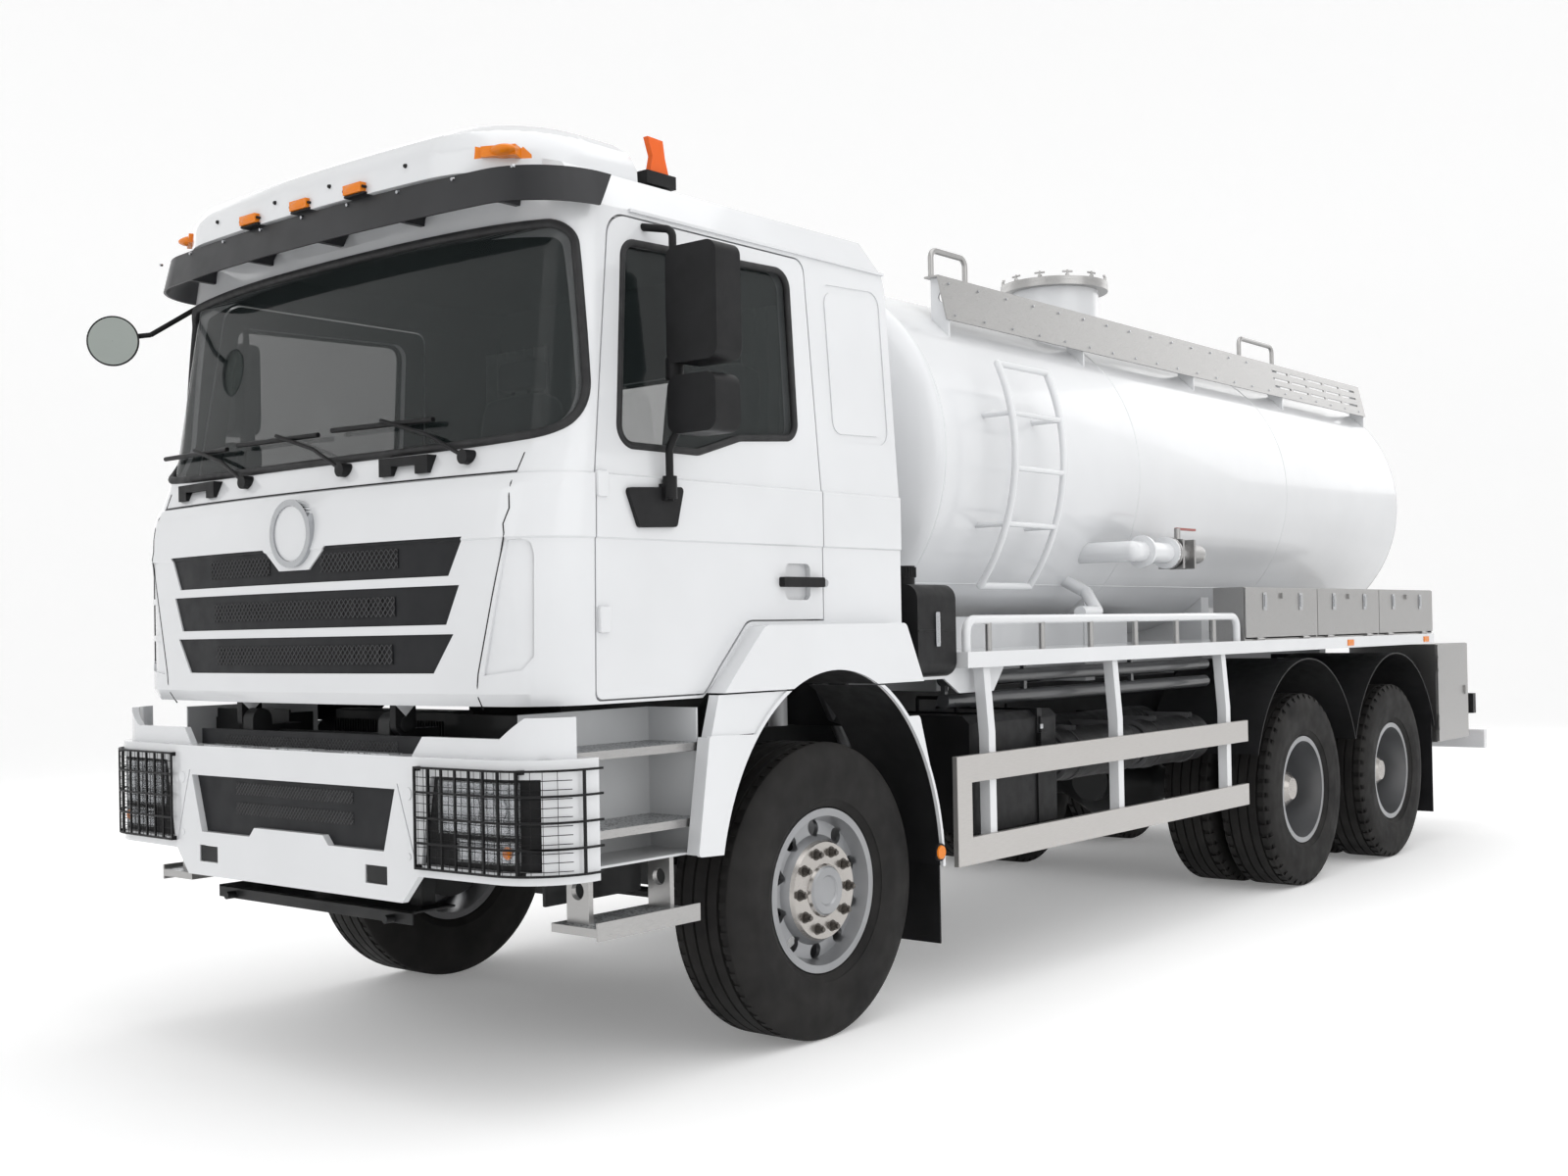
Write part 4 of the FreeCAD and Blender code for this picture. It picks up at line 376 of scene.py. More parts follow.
def tyre_form(centre, slots, rubber_lugs):
    wall = [(0.113, 0.286), (0.113, 0.302), (0.126, 0.306), (0.138, 0.330), (0.141, 0.334), (0.143, 0.333),
            (0.1497, 0.400), (0.1500, 0.423), (0.1478, 0.455), (0.1482, 0.458), (0.1462, 0.480),
            (0.1385, 0.513), (0.1310, 0.531), (0.1230, 0.5400)]
    ribs = [(0.117, 0.5420)]
    for groove in slots:
        ribs += [(groove + 0.0055, TYRE_RADIUS), (groove + 0.0035, TYRE_RADIUS - 0.013),
                 (groove - 0.0035, TYRE_RADIUS - 0.013), (groove - 0.0055, TYRE_RADIUS)]
    half = wall + ribs
    bm = spun(half + [(-across, radius) for across, radius in reversed(half)], TREAD_STEPS)
    sipes = []
    for face in bm.faces:
        middle = face.calc_center_median()
        radius = math.hypot(middle.y, middle.z)
        turn = round(math.atan2(middle.y, middle.z) / math.tau * TREAD_STEPS - 0.5)
        far = abs(middle.x)
        if radius > TYRE_RADIUS - 0.004 and abs(face.normal.x) < 0.3:
            if (far > 0.075 and turn % 3 == 0) if rubber_lugs else turn % 2 == 0 and 0.10 < far < 0.121:
                sipes.append(face)
        elif rubber_lugs and turn % 3 == 0 and 0.5100 < radius and 0.122 < far:
            sipes.append(face)
    cuts = bmesh.ops.extrude_discrete_faces(bm, faces=sipes)["faces"]
    for face in cuts:
        middle = face.calc_center_median()
        inward = Vector((0, -middle.y, -middle.z)).normalized() * (0.009 if rubber_lugs else 0.004)
        bmesh.ops.translate(bm, verts=face.verts, vec=inward)
    return moved(bm, centre)


rubber = Look("tyre_rubber", Specular_IOR_Level=0.2)
rubber.shade(rubber.noise(5.0), (0.010, 0.0095, 0.0095), (0.020, 0.019, 0.018))
rubber.rough(0.62, 0.2, 11.0)
rubber.relief(rubber.noise(260, detail=2), 0.0004, 0.4)

silver = Look("silver_wheel_paint", Metallic=0.85, Coat_Weight=0.3, Coat_Roughness=0.15)
sparkle = silver.noise(3.0)
silver.shade(sparkle, (0.34, 0.345, 0.355), (0.27, 0.275, 0.285))
silver.rough(0.34, 0.14, 7.0)
silver.relief(silver.noise(500, detail=1), 0.00005, 0.3)
polished = Look("polished_steel", Metallic=1.0, Base_Color=(0.42, 0.40, 0.38, 1))
polished.rough(0.16, 0.16, 9.0)
nut_steel = Look("nut_steel", Metallic=1.0, Base_Color=(0.13, 0.12, 0.11, 1))
nut_steel.rough(0.30, 0.2, 40.0)
drum_grey = paint("drum_grey", (0.11, 0.11, 0.115), 0.55)


def nut_ring(face_x, wheel_y, ring, radius, length, side):
    """Ten wheel nuts, each a six-sided body on a round washer with its stud showing."""
    parts = []
    for index in range(10):
        turn = math.radians(36 * index)
        at = Vector((face_x, AXLE_Y + wheel_y + ring * math.cos(turn), TYRE_RADIUS + ring * math.sin(turn)))
        for sides, size, start, deep in ((20, radius * 1.35, 0, 0.004), (6, radius, 0.004, length),
                                         (14, radius * 0.55, length, length + 0.009)):
            bm = bmesh.new()
            bmesh.ops.create_cone(bm, cap_ends=True, segments=sides, radius1=size, radius2=size * 0.92,
                                  depth=deep - start)
            turned(bm, 90 * side, "Y")
            parts.append(moved(bm, at + Vector((side * (start + deep) / 2, 0, 0))))
    return gathered(parts)


def wheel_look(wheel_y, face):
    """Silver all over, but polished steel inside the ring of nuts, and dark drum grey on the brake drum and
    on the inner rims, where the grey is painted shade.
    """
    def pick(middle, normal):
        far = math.hypot(middle.y - wheel_y, middle.z - TYRE_RADIUS)
        if far < 0.182 and abs(middle.x) > face:
            return 1
        # Inboard of the disc the drum grey is the drum's own colour, and painted shade on the inner rims and
        # the inner twin wheel.
        return 2 if abs(middle.x) < face - 0.14 or abs(middle.x) < face - 0.08 and far < 0.2105 else 0
    return pick


for side, name in SIDES:
    body = "wheel_front_" + name
    form = tyre_form((1.045 * side, AXLE_Y, TYRE_RADIUS), (0.084, 0.030), False)
    nuts = nut_ring(1.170 * side, 0, NUT_CIRCLE, NUT_RADIUS, 0.022, side)
    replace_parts(piece("steer_tyre_" + name, form, body, rubber, crease=28), "tyre_front_" + name)
    dressed("rim_front_" + name, silver, polished, drum_grey, pick=wheel_look(0, 1.10))
    piece("steer_nuts_" + name, nuts, body, nut_steel)
    cap = spun([(1.183, 0.0005), (1.183, 0.050), (1.189, 0.056), (1.189, 0.084), (1.181, 0.092),
                (1.175, 0.092), (1.175, 0.0005)], 56)
    if side < 0:
        other_side(cap)
    piece("hub_cap_" + name, moved(cap, (0, AXLE_Y, TYRE_RADIUS)), body, silver)
    for axle, wheel_y in REAR_AXLES:
        body = f"wheels_axle{axle}_{name}"
        twin = [tyre_form((x * side, AXLE_Y + wheel_y, TYRE_RADIUS), (0.082, 0.028), True)
                for x in TWIN_TYRES_X]
        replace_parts(piece(f"drive_tyres_{axle}_{name}", gathered(twin), body, rubber, crease=28),
                    f"tyres_axle{axle}_{name}")
        dressed(f"rims_axle{axle}_{name}", silver, polished, drum_grey, pick=wheel_look(wheel_y, 1.035))
        nuts = nut_ring(0.917 * side, wheel_y, NUT_CIRCLE, NUT_RADIUS, 0.03, side)
        piece(f"drive_nuts_{axle}_{name}", nuts, body, nut_steel)


# Cab shell and doors
# Pressed steel panels, welded and sprayed gloss white; the doors hang in their own openings.
# The inner sides are grey trim, the pull handles black, and a plain disc fills the round ring.
white = paint("gloss_white_paint", (0.70, 0.71, 0.725), 0.22)
trim = Look("grey_cab_trim", Roughness=0.7)
trim.shade(trim.noise(3.0), (0.055, 0.055, 0.058), (0.08, 0.08, 0.083))
trim.relief(trim.noise(500, detail=1), 0.0003, 0.4)
plastic = Look("black_plastic", Specular_IOR_Level=0.22)
plastic.shade(plastic.noise(8.0), (0.006, 0.006, 0.0065), (0.011, 0.011, 0.012))
plastic.rough(0.42, 0.14, 20.0)
plastic.relief(plastic.noise(700, detail=1), 0.00015, 0.4)
chrome = Look("bright_chrome", Metallic=1.0, Base_Color=(0.46, 0.47, 0.485, 1))
chrome.rough(0.06, 0.06, 14.0)
BADGE_HEIGHT = 1.862


def cab_look(middle, normal):
    far_in = (middle.y / 0.676) ** 2 + ((middle.z - 0.55) / 0.816) ** 2 < 1.02
    if middle.z < 1.259 and abs(middle.x) < 0.47 or far_in and middle.z < 1.50 and abs(middle.x) < 1.236:
        return 3
    if math.hypot(middle.x, middle.z - BADGE_HEIGHT) < 0.1185 and middle.y < -1.4365:
        return 2
    side = 1.174 - max(0, middle.z - 2.0) * 0.066
    front = -1.439 + max(0, middle.z - 1.95) * 0.23 + middle.x ** 2 / 16
    inside = abs(middle.x) < side - 0.035 and front + 0.035 < middle.y < 0.48 and 1.31 < middle.z < 3.13
    return 1 if inside and normal.dot(middle - Vector((0, -0.45, 2.2))) < 0 else 0


def door_look(middle, normal):
    if 1.181 < abs(middle.x) and 1.650 < middle.z < 1.690 and -0.232 < middle.y < 0.004:
        return 2
    side = 1.174 - max(0, middle.z - 2.0) * 0.066
    return 1 if abs(middle.x) < side - 0.035 else 0


dressed("cab_shell", white, trim, chrome, plastic, pick=cab_look, splits=(1.236,), crease=28)
for name in ("left", "right"):
    dressed("door_" + name, white, trim, plastic, pick=door_look, crease=28)


def block(bm, low, high, rounding=0.002):
    """A box between two corners, with rounded edges."""
    low = Vector(low) + FRONT_AXLE
    high = Vector(high) + FRONT_AXLE
    place = Matrix.Translation((low + high) / 2) @ Matrix.Diagonal((*(high - low), 1))
    made = bmesh.ops.create_cube(bm, size=1, matrix=place)
    edges = list({edge for vert in made["verts"] for edge in vert.link_edges})
    bmesh.ops.bevel(bm, geom=edges, offset=rounding, segments=2, profile=0.5, affect="EDGES", material=-1)
    return bm


def side_block(bm, side, x, y, z, rounding=0.002):
    """A block between two distances from the middle line, on one side of the truck."""
    low, high = sorted(side * part for part in x)
    return block(bm, (low, y[0], z[0]), (high, y[1], z[1]), rounding)


def bar(bm, start, end, radius, sides=20, taper=1.0):
    """A round bar between two points."""
    start = Vector(start) + FRONT_AXLE
    end = Vector(end) + FRONT_AXLE
    place = Matrix.Translation((start + end) / 2) @ (end - start).to_track_quat("Z", "Y").to_matrix().to_4x4()
    bmesh.ops.create_cone(bm, cap_ends=True, segments=sides, radius1=radius, radius2=radius * taper,
                          depth=(end - start).length, matrix=place)
    return bm


CAB_LEVELS = ((1.260, -1.405, 1.166, 0.225), (1.315, -1.439, 1.174, 0.228), (1.798, -1.439, 1.174, 0.228),
              (1.804, -1.445, 1.180, 0.230), (1.950, -1.425, 1.180, 0.225), (2.003, -1.392, 1.180, 0.190),
              (2.009, -1.380, 1.172, 0.170), (2.100, -1.340, 1.166, 0.150), (2.880, -1.222, 1.118, 0.130))


def cab_face(x, z):
    """How far forward the front panels are at one place."""
    for low, high in zip(CAB_LEVELS, CAB_LEVELS[1:]):
        if low[0] <= z <= high[0]:
            share = (z - low[0]) / (high[0] - low[0])
            front, half, corner = [a + (b - a) * share for a, b in zip(low[1:], high[1:])]
    across = half - corner
    if abs(x) < across * 8 / (8 - corner):
        return front + 8 - math.sqrt(64 - x * x)
    ahead = front + 8 - math.sqrt((8 - corner) ** 2 - across ** 2)
    return ahead - math.sqrt(max(0, corner ** 2 - (abs(x) - across) ** 2))


def gap_shade_line(bm, points, steps, radius):
    """A dark line laid in the gap between two front panels, as painted shade in the gap."""
    for (x0, z0), (x1, z1) in zip(points, points[1:]):
        spots = [(x0 + (x1 - x0) * step / steps, z0 + (z1 - z0) * step / steps)
                 for step in range(steps + 1)]
        for (a, b), (c, d) in zip(spots, spots[1:]):
            bar(bm, (a, cab_face(a, b) + 0.0004, b), (c, cab_face(c, d) + 0.0004, d), radius, 8)
    return bm


# Dark lines along the gaps between the front panels: painted shade in the gaps.
gap_shades = gap_shade_line(bmesh.new(), [(-1.013, 2.0115), (1.013, 2.0115)], 26, 0.0030)
for side in (1, -1):
    gap_shade_line(gap_shades, [(side * x, z) for x, z in (
        (1.020, 2.071), (1.013, 2.011), (1.027, 1.893), (1.010, 1.844), (1.016, 1.813), (0.961, 1.616),
        (0.899, 1.379), (0.886, 1.264))], 3, 0.0024)
piece("front_panel_gap_shade", gap_shades, "cab", plastic)

disc = bmesh.new()
bar(disc, (0, -1.4335, BADGE_HEIGHT), (0, -1.4475, BADGE_HEIGHT), 0.0955, 64)
piece("blank_badge_disc", disc, "cab", white)
for side, name in SIDES:
    lock = bar(bmesh.new(), (1.175 * side, 0.030, 1.668), (1.183 * side, 0.030, 1.668), 0.014, 24)
    piece("door_lock_" + name, lock, "door_" + name, chrome)
    cover = bmesh.new()
    for z in (1.50, 1.93):
        side_block(cover, side, (1.168, 1.192), (-1.135, -1.085), (z, z + 0.085), 0.008)
    piece("door_hinge_covers_" + name, cover, "door_" + name, white)


# Window glass and rubber seals
# Tinted safety glass, glued or held in a black rubber section that runs round each opening
# and stands a little proud of the paint.
glass = Look("tinted_glass", Base_Color=(0.018, 0.024, 0.024, 1), Roughness=0.02, Alpha=0.44,
             Specular_IOR_Level=0.45)
seal_rubber = Look("seal_rubber", Specular_IOR_Level=0.35)
seal_rubber.shade(seal_rubber.noise(12.0), (0.012, 0.012, 0.013), (0.024, 0.024, 0.025))
seal_rubber.rough(0.5, 0.2, 30.0)


def edge_loops(bm):
    """The closed rims of the faces left in a bmesh, as lists of places and normals."""
    rims = {vert for edge in bm.edges if len(edge.link_faces) == 1 for vert in edge.verts}
    loops = []
    while rims:
        here = rims.pop()
        loop = [here]
        while True:
            ahead = [edge.other_vert(here) for edge in here.link_edges if len(edge.link_faces) == 1]
            ahead = [vert for vert in ahead if vert in rims]
            if not ahead:
                break
            here = ahead[0]
            rims.discard(here)
            loop.append(here)
        if len(loop) > 8:
            loops.append([(vert.co.copy(), vert.normal.copy()) for vert in loop])
    return loops


def seal_round(node, name, body, faces, proud, width):
    """A rubber section swept round the outer edge of a pane."""
    bm = joined(node)
    inner = [face for face in bm.faces if not faces(face.calc_center_median() - FRONT_AXLE, face.normal)]
    bmesh.ops.delete(bm, geom=inner, context="FACES")
    bm.normal_update()
    line = bpy.data.curves.new(name, "CURVE")
    line.dimensions = "3D"
    line.bevel_depth = width / 2
    line.bevel_resolution = 3
    for loop in edge_loops(bm):
        spline = line.splines.new("POLY")
        spline.points.add(len(loop) - 1)
        for point, (place, normal) in zip(spline.points, loop):
            point.co = (*(place + normal * proud), 1)
        spline.use_cyclic_u = True
    bm.free()
    sweep = bpy.data.objects.new(name, line)
    made = bmesh.new()
    made.from_mesh(bpy.data.meshes.new_from_object(sweep))
    bpy.data.objects.remove(sweep)
    bmesh.ops.recalc_face_normals(made, faces=made.faces)
    return piece(name, made, body, seal_rubber, crease=60)


def window_edge(middle, normal):
    """Whether a face of the screen, a corner pane or the rear pane looks outwards."""
    if middle.y >= -0.3:
        return normal.y > 0.5
    if abs(middle.x) < 1.02:
        return normal.y < -0.25
    return (abs(normal.x) > 0.2 or normal.y < -0.2) and normal.x * middle.x >= 0


rear_glass = Look("rear_window_glass", Base_Color=(0.05, 0.06, 0.06, 1), Roughness=0.02, Alpha=0.06)
dressed("cab_glass", glass, rear_glass, crease=30, pick=lambda middle, normal: 1 if middle.y > 0.3 else 0)
seal_round("cab_glass", "cab_window_seals", "cab", window_edge, 0.013, 0.030)
for side, name in SIDES:
    dressed("door_glass_" + name, glass)
    seal_round("door_glass_" + name, "door_window_seal_" + name, "door_" + name,
               lambda middle, normal: normal.x * side > 0.5, 0.012, 0.026)


# Roof cap, lamps and sun visor
# A moulded white roof cap with amber marker lamps on black bases and an orange fin light,
# and a dark tinted visor bolted to five brackets over the screen.
amber = Look("amber_lens", Base_Color=(0.74, 0.20, 0.004, 1), Roughness=0.22, Specular_IOR_Level=0.4)
amber.relief(amber.noise(90, stretch=(1, 1, 6), detail=0), 0.0008, 0.5)
orange = Look("orange_lens", Base_Color=(0.74, 0.11, 0.004, 1), Specular_IOR_Level=0.4)
orange.rough(0.15, 0.1, 20.0)
visor_grey = Look("tinted_visor", Specular_IOR_Level=0.4)
visor_grey.shade(visor_grey.noise(2.5), (0.010, 0.0105, 0.012), (0.016, 0.0165, 0.019))
visor_grey.rough(0.34, 0.12, 7.0)


def cap_look(middle, normal):
    if middle.y > -0.70 and middle.x > 0.9:
        return 2 if middle.z < 3.0865 else 3
    if 2.990 < middle.z < 3.026:
        edge = abs(normal.z) + abs(normal.x) > 0.9 and abs(middle.x) < 0.36
        if middle.y < -1.386 or edge and middle.y < -1.345:
            return 1
    return 1 if 3.029 < middle.z < 3.066 and 0.815 < abs(middle.x) < 0.96 and middle.y < -1.18 else 0


dressed("roof_cap", white, amber, plastic, orange, pick=cap_look)
bases = bmesh.new()
for x in (-0.307, 0, 0.307):
    block(bases, (x - 0.055, -1.392, 2.984), (x + 0.055, -1.350, 2.993), 0.003)
    for end in (-0.053, 0.053):
        bar(bases, (x + end, -1.395, 3.008), (x + end, -1.380, 3.008), 0.005, 10)
piece("marker_lamp_bases", bases, "cab", plastic)


def dome(place, size, turn):
    """A rounded lamp cover."""
    bm = bmesh.new()
    bmesh.ops.create_uvsphere(bm, u_segments=24, v_segments=14, radius=1.0)
    bmesh.ops.scale(bm, verts=bm.verts, vec=size)
    turned(bm, turn, "Z")
    return moved(bm, (place[0], place[1] + AXLE_Y, place[2]))


domes = [dome((x, -1.394, 3.009), (0.047, 0.013, 0.0165), 0) for x in (-0.307, 0, 0.307)]
domes += [dome((x, -1.242, 3.049), (0.078, 0.046, 0.021), -24 if x > 0 else 24) for x in (-0.888, 0.888)]
piece("marker_lamp_lenses", gathered(domes), "cab", amber, crease=60)
dressed("visor", visor_grey, crease=30)
bolts = bmesh.new()
for index in range(9):
    x = -1.02 + 0.255 * index
    y = -1.384 + x * x / 16
    bar(bolts, (x, y + 0.006, 2.966), (x, y - 0.003, 2.965), 0.007, 12, 0.8)
piece("visor_bolts", bolts, "cab", chrome)
cap_bolts = bmesh.new()
for x in (-0.82, -0.55, -0.16, 0.16, 0.55, 0.82):
    y = -1.3865 + x * x / 16 + max(0, abs(x) - 0.62) * 0.32
    bar(cap_bolts, (x, y + 0.006, 3.045), (x, y - 0.002, 3.045), 0.008, 12, 0.7)
piece("roof_cap_bolts", cap_bolts, "cab", plastic)


# Grilles
# Three dark moulded panels let into the front, each with a band of expanded diamond mesh
# over a black strip in the opening, which is painted shade.
grille_grey = Look("grille_plastic", Specular_IOR_Level=0.25)
grille_grey.shade(grille_grey.noise(4.0), (0.006, 0.0065, 0.008), (0.010, 0.0105, 0.0125))
grille_grey.rough(0.45, 0.12, 15.0)
dressed("cab_grilles", grille_grey, crease=30)


def grille_front(x):
    return -1.4365 + x * x / 16


def mesh_band(middle, low, high, half, front=grille_front, pitch=0.0235):
    """Crossing thin bars that follow the crowned face between two heights."""
    bm = bmesh.new()
    rise = (high - low) * 0.9
    for lean in (-1, 1):
        for index in range(-4, round(2 * half / pitch) + 4):
            foot = -half + index * pitch
            head = foot + lean * rise
            start = max(0, (-lean * half - foot) / (head - foot))
            end = min(1, (lean * half - foot) / (head - foot))
            if end - start < 0.05:
                continue
            ends = []
            for share in (start, end):
                x = middle + foot + (head - foot) * share
                ends.append((x, front(x) - 0.0005 * lean, low + (high - low) * share))
            bar(bm, *ends, 0.0019, 4)
    return bm


def mesh_shade_strip(bm, middle, low, high, half, front=grille_front):
    """A dark strip that follows the crowned face behind the mesh, as painted shade in the opening."""
    for index in range(16):
        left = middle - half + index * half / 8
        y = front(left + half / 16) + 0.0018
        block(bm, (left, y, low), (left + half / 8 + 0.0005, y + 0.002, high), 0.0004)
    return bm


BANDS = ((0.3475, 1.7225, 1.7865, 0.1975), (-0.3475, 1.7225, 1.7865, 0.1975), (0, 1.566, 1.630, 0.528),
         (0, 1.410, 1.474, 0.512))
# Black strips behind each band of mesh: painted shade in the grille openings.
grille_shade_strips = bmesh.new()
for band in BANDS:
    mesh_shade_strip(grille_shade_strips, *band)
piece("grille_opening_shade", grille_shade_strips, "cab", plastic)
mesh_grey = Look("grille_mesh_grey", Base_Color=(0.045, 0.046, 0.049, 1), Roughness=0.4)
piece("grille_mesh", gathered([mesh_band(*band) for band in BANDS]), "cab", mesh_grey)


# Wipers and mirrors
# Black-painted arms and blades, and black moulded mirror housings on a tube frame with
# silvered glass facing back.
dressed("wipers", plastic)
silvered = Look("mirror_glass", Metallic=1.0, Base_Color=(0.34, 0.37, 0.35, 1))
silvered.rough(0.02, 0.03, 3.0)


def mirror_look(middle, normal):
    return 1 if normal.y > 0.95 and abs(middle.x) > 1.24 and middle.y > -0.742 else 0


for name in ("left", "right"):
    dressed("mirrors_" + name, plastic, silvered, pick=mirror_look, bevel=0.004)
round_head = spun([(-0.022, 0.0008), (-0.020, 0.060), (-0.010, 0.088), (0.004, 0.0985), (0.010, 0.0985),
                   (0.0115, 0.094), (0.0085, 0.092), (0.0085, 0.0008)], 64)
round_glass = spun([(0.0082, 0.0008), (0.0082, 0.0925), (0.0092, 0.0925), (0.0118, 0.060),
                    (0.0130, 0.0008)], 64)
for part in (round_head, round_glass):
    turned(part, -42, "Z")
    moved(part, (-1.200, AXLE_Y - 1.420, 2.677))
arm = bmesh.new()
bends = ((-1.200, -1.405, 2.690), (-1.150, -1.290, 2.712), (-1.100, -1.105, 2.842))
for start, end in zip(bends, bends[1:]):
    bar(arm, start, end, 0.010, 16)
mirror_head = piece("front_mirror_head", gathered([round_head, arm]), "cab", plastic)
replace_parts(mirror_head, "round_mirror")
piece("front_mirror_glass", round_glass, "cab", silvered)


# Seats, dashboard and curtains
# Two seats in dark woven cloth over foam, a moulded dashboard with blank papers on it, and a
# grey curtain gathered on each side behind the seats.
seat_cloth = Look("seat_cloth", Roughness=0.9, Sheen_Weight=0.3)
seat_cloth.shade(seat_cloth.noise(300, detail=1), (0.030, 0.031, 0.035), (0.060, 0.061, 0.068))
seat_cloth.relief(seat_cloth.noise(600, detail=1), 0.0006, 0.6)


def cushion(low, high, lean, crown):
    """A crowned pad whose sides pull in between its corners."""
    bm = bmesh.new()
    low = Vector(low) + FRONT_AXLE
    high = Vector(high) + FRONT_AXLE
    bmesh.ops.create_cube(bm, size=2)
    bmesh.ops.subdivide_edges(bm, edges=bm.edges, cuts=5, use_grid_fill=True)
    half = (high - low) / 2
    for vert in bm.verts:
        x, y, z = vert.co
        bulge = (1 - x * x) * (1 - y * y), (1 - x * x) * (1 - z * z), (1 - y * y) * (1 - z * z)
        swell = [1 + crown * part for part in reversed(bulge)]
        seam = 0.965 if abs(abs(x) - 1 / 3) < 0.02 else 1
        vert.co = Vector((x * half.x * swell[0] * 0.94, y * half.y * swell[1] * 0.94 * seam,
                          z * half.z * swell[2] * 0.94 * seam))
    turned(bm, lean, "X")
    return moved(bm, (low + high) / 2)


for side, name in SIDES:
    x = 0.56 * side
    pads = gathered([cushion((x - 0.235, -0.43, 1.74), (x + 0.235, 0.06, 1.89), -3, 0.12),
                     cushion((x - 0.22, 0.03, 1.84), (x + 0.22, 0.15, 2.55), -7.5, 0.12),
                     cushion((x - 0.125, 0.085, 2.565), (x + 0.125, 0.175, 2.70), -4, 0.14)])
    seat = piece("seat_pads_" + name, pads, "cab", seat_cloth, crease=180)
    seat.modifiers.remove(seat.modifiers["even_shading"])
    soft = seat.modifiers.new("soft", "SUBSURF")
    soft.levels = soft.render_levels = 1
    if side > 0:
        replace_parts(seat, "seats")
    base = bmesh.new()
    block(base, (x - 0.19, -0.36, 1.531), (x + 0.19, 0.04, 1.735), 0.012)
    for post in (-0.05, 0.05):
        bar(base, (x + post, 0.112, 2.50), (x + post, 0.125, 2.60), 0.007, 12)
    piece("seat_base_" + name, base, "cab", plastic)


def dash_look(middle, normal):
    return 1 if math.hypot(middle.x - 0.56, middle.y + 0.90) < 0.24 and middle.z > 1.955 else 0


dressed("dashboard", trim, plastic, pick=dash_look)
papers = bmesh.new()
for x, turn in ((-0.62, 0.1), (-0.30, -0.2), (0.12, 0.3)):
    sheet = moved(block(bmesh.new(), (-0.105, -0.075, 0), (0.105, 0.075, 0.0015), 0.0004), -FRONT_AXLE)
    bmesh.ops.rotate(sheet, verts=sheet.verts, matrix=Matrix.Rotation(turn, 3, "Z"))
    turned(sheet, -4.1, "X")
    papers = gathered([papers, moved(sheet, (x, AXLE_Y - 1.21, 2.0665))])
paper = Look("blank_paper", Roughness=0.8)
paper.shade(paper.noise(6.0), (0.75, 0.75, 0.73), (0.68, 0.68, 0.66))
piece("dashboard_papers", papers, "cab", paper)

curtain_cloth = Look("curtain_cloth", Roughness=0.85, Sheen_Weight=0.3)
curtain_cloth.shade(curtain_cloth.noise(7.0), (0.20, 0.205, 0.21), (0.29, 0.295, 0.30))
curtain_cloth.relief(curtain_cloth.noise(500, detail=1), 0.0004, 0.5)
CURTAIN_HIGH = 0.86
for side, name in SIDES:
    folds = bmesh.new()
    bmesh.ops.create_grid(folds, x_segments=72, y_segments=8, size=1)
    for vert in folds.verts:
        across, down = vert.co.x, (vert.co.y + 1) / 2
        wave = math.sin(across * 22 + 0.5 * math.sin(across * 5)) * (0.020 + 0.012 * (1 - down))
        vert.co = Vector((side * (0.79 + 0.22 * across), AXLE_Y + 0.30 + wave, 1.93 + CURTAIN_HIGH * down))
    area = sum(face.calc_area() for face in folds.faces)
    curtain = piece("cab_curtain_" + name, folds, "cab", curtain_cloth, crease=180)
    area / CURTAIN_HIGH


# Bumper, headlamps and their guards
# A white pressed bumper with a dark lower grille, clear lamps in black housings, and a black
# wire guard clipped over each lamp. Ribbed treads lie on top, and the radiator is behind it.
def bumper_face(x, inset):
    """How far forward the bumper's face is at one place across it."""
    half = 1.255 - inset
    radius = 0.215 - inset
    front = -1.480 + inset
    slope = 0.030 * (min(abs(x), half - radius) - half / 2) / (half / 2)
    flat = front + max(0, slope)
    past = abs(x) - (half - radius)
    return flat + radius - math.sqrt(max(0, radius ** 2 - past ** 2)) if past > 0 else flat


def bumper_look(middle, normal):
    if 1.0945 < middle.z < 1.18 and -1.396 < middle.y < -1.38 and abs(middle.x) < 0.665:
        return 1
    if abs(middle.x) < 0.612 and 0.765 < middle.z < 1.052 and -1.4575 < middle.y < -1.40:
        return 1
    return 2 if middle.y > -1.34 and middle.z < 0.91 and abs(middle.x) < 0.91 else 0


tread_metal = Look("ribbed_tread", Metallic=0.9)
tread_dots = tread_metal.node("ShaderNodeTexVoronoi", {}, {"Vector": tread_metal.place(), "Scale": 75.0},
                              "Distance")
# The pits of the tread are coloured near black: painted shade in the pits.
hollow_shade = tread_metal.node("ShaderNodeValToRGB", {"stops": [(0.22, 0), (0.42, 1)]}, {"Fac": tread_dots})
tread_metal.shade(hollow_shade, (0.08, 0.08, 0.085), (0.52, 0.53, 0.54))
tread_metal.rough(0.35, 0.2, 30.0)
tread_metal.relief(tread_dots, 0.004, 0.8)
brushed = Look("brushed_stainless", Metallic=1.0)
grain = brushed.noise(90, detail=4, stretch=(8, 0.35, 8), low=0.25, high=0.75)
brushed.shade(grain, (0.37, 0.365, 0.36), (0.43, 0.425, 0.42))
brushed.set("Roughness", 0.24 + 0.16 * grain)
brushed.relief(grain, 0.0002, 0.4)

dressed("bumper", white, grille_grey, chassis_paint, pick=bumper_look, crease=30)


def lower_front(x):
    return -1.4568


def upper_front(x):
    return -1.3935


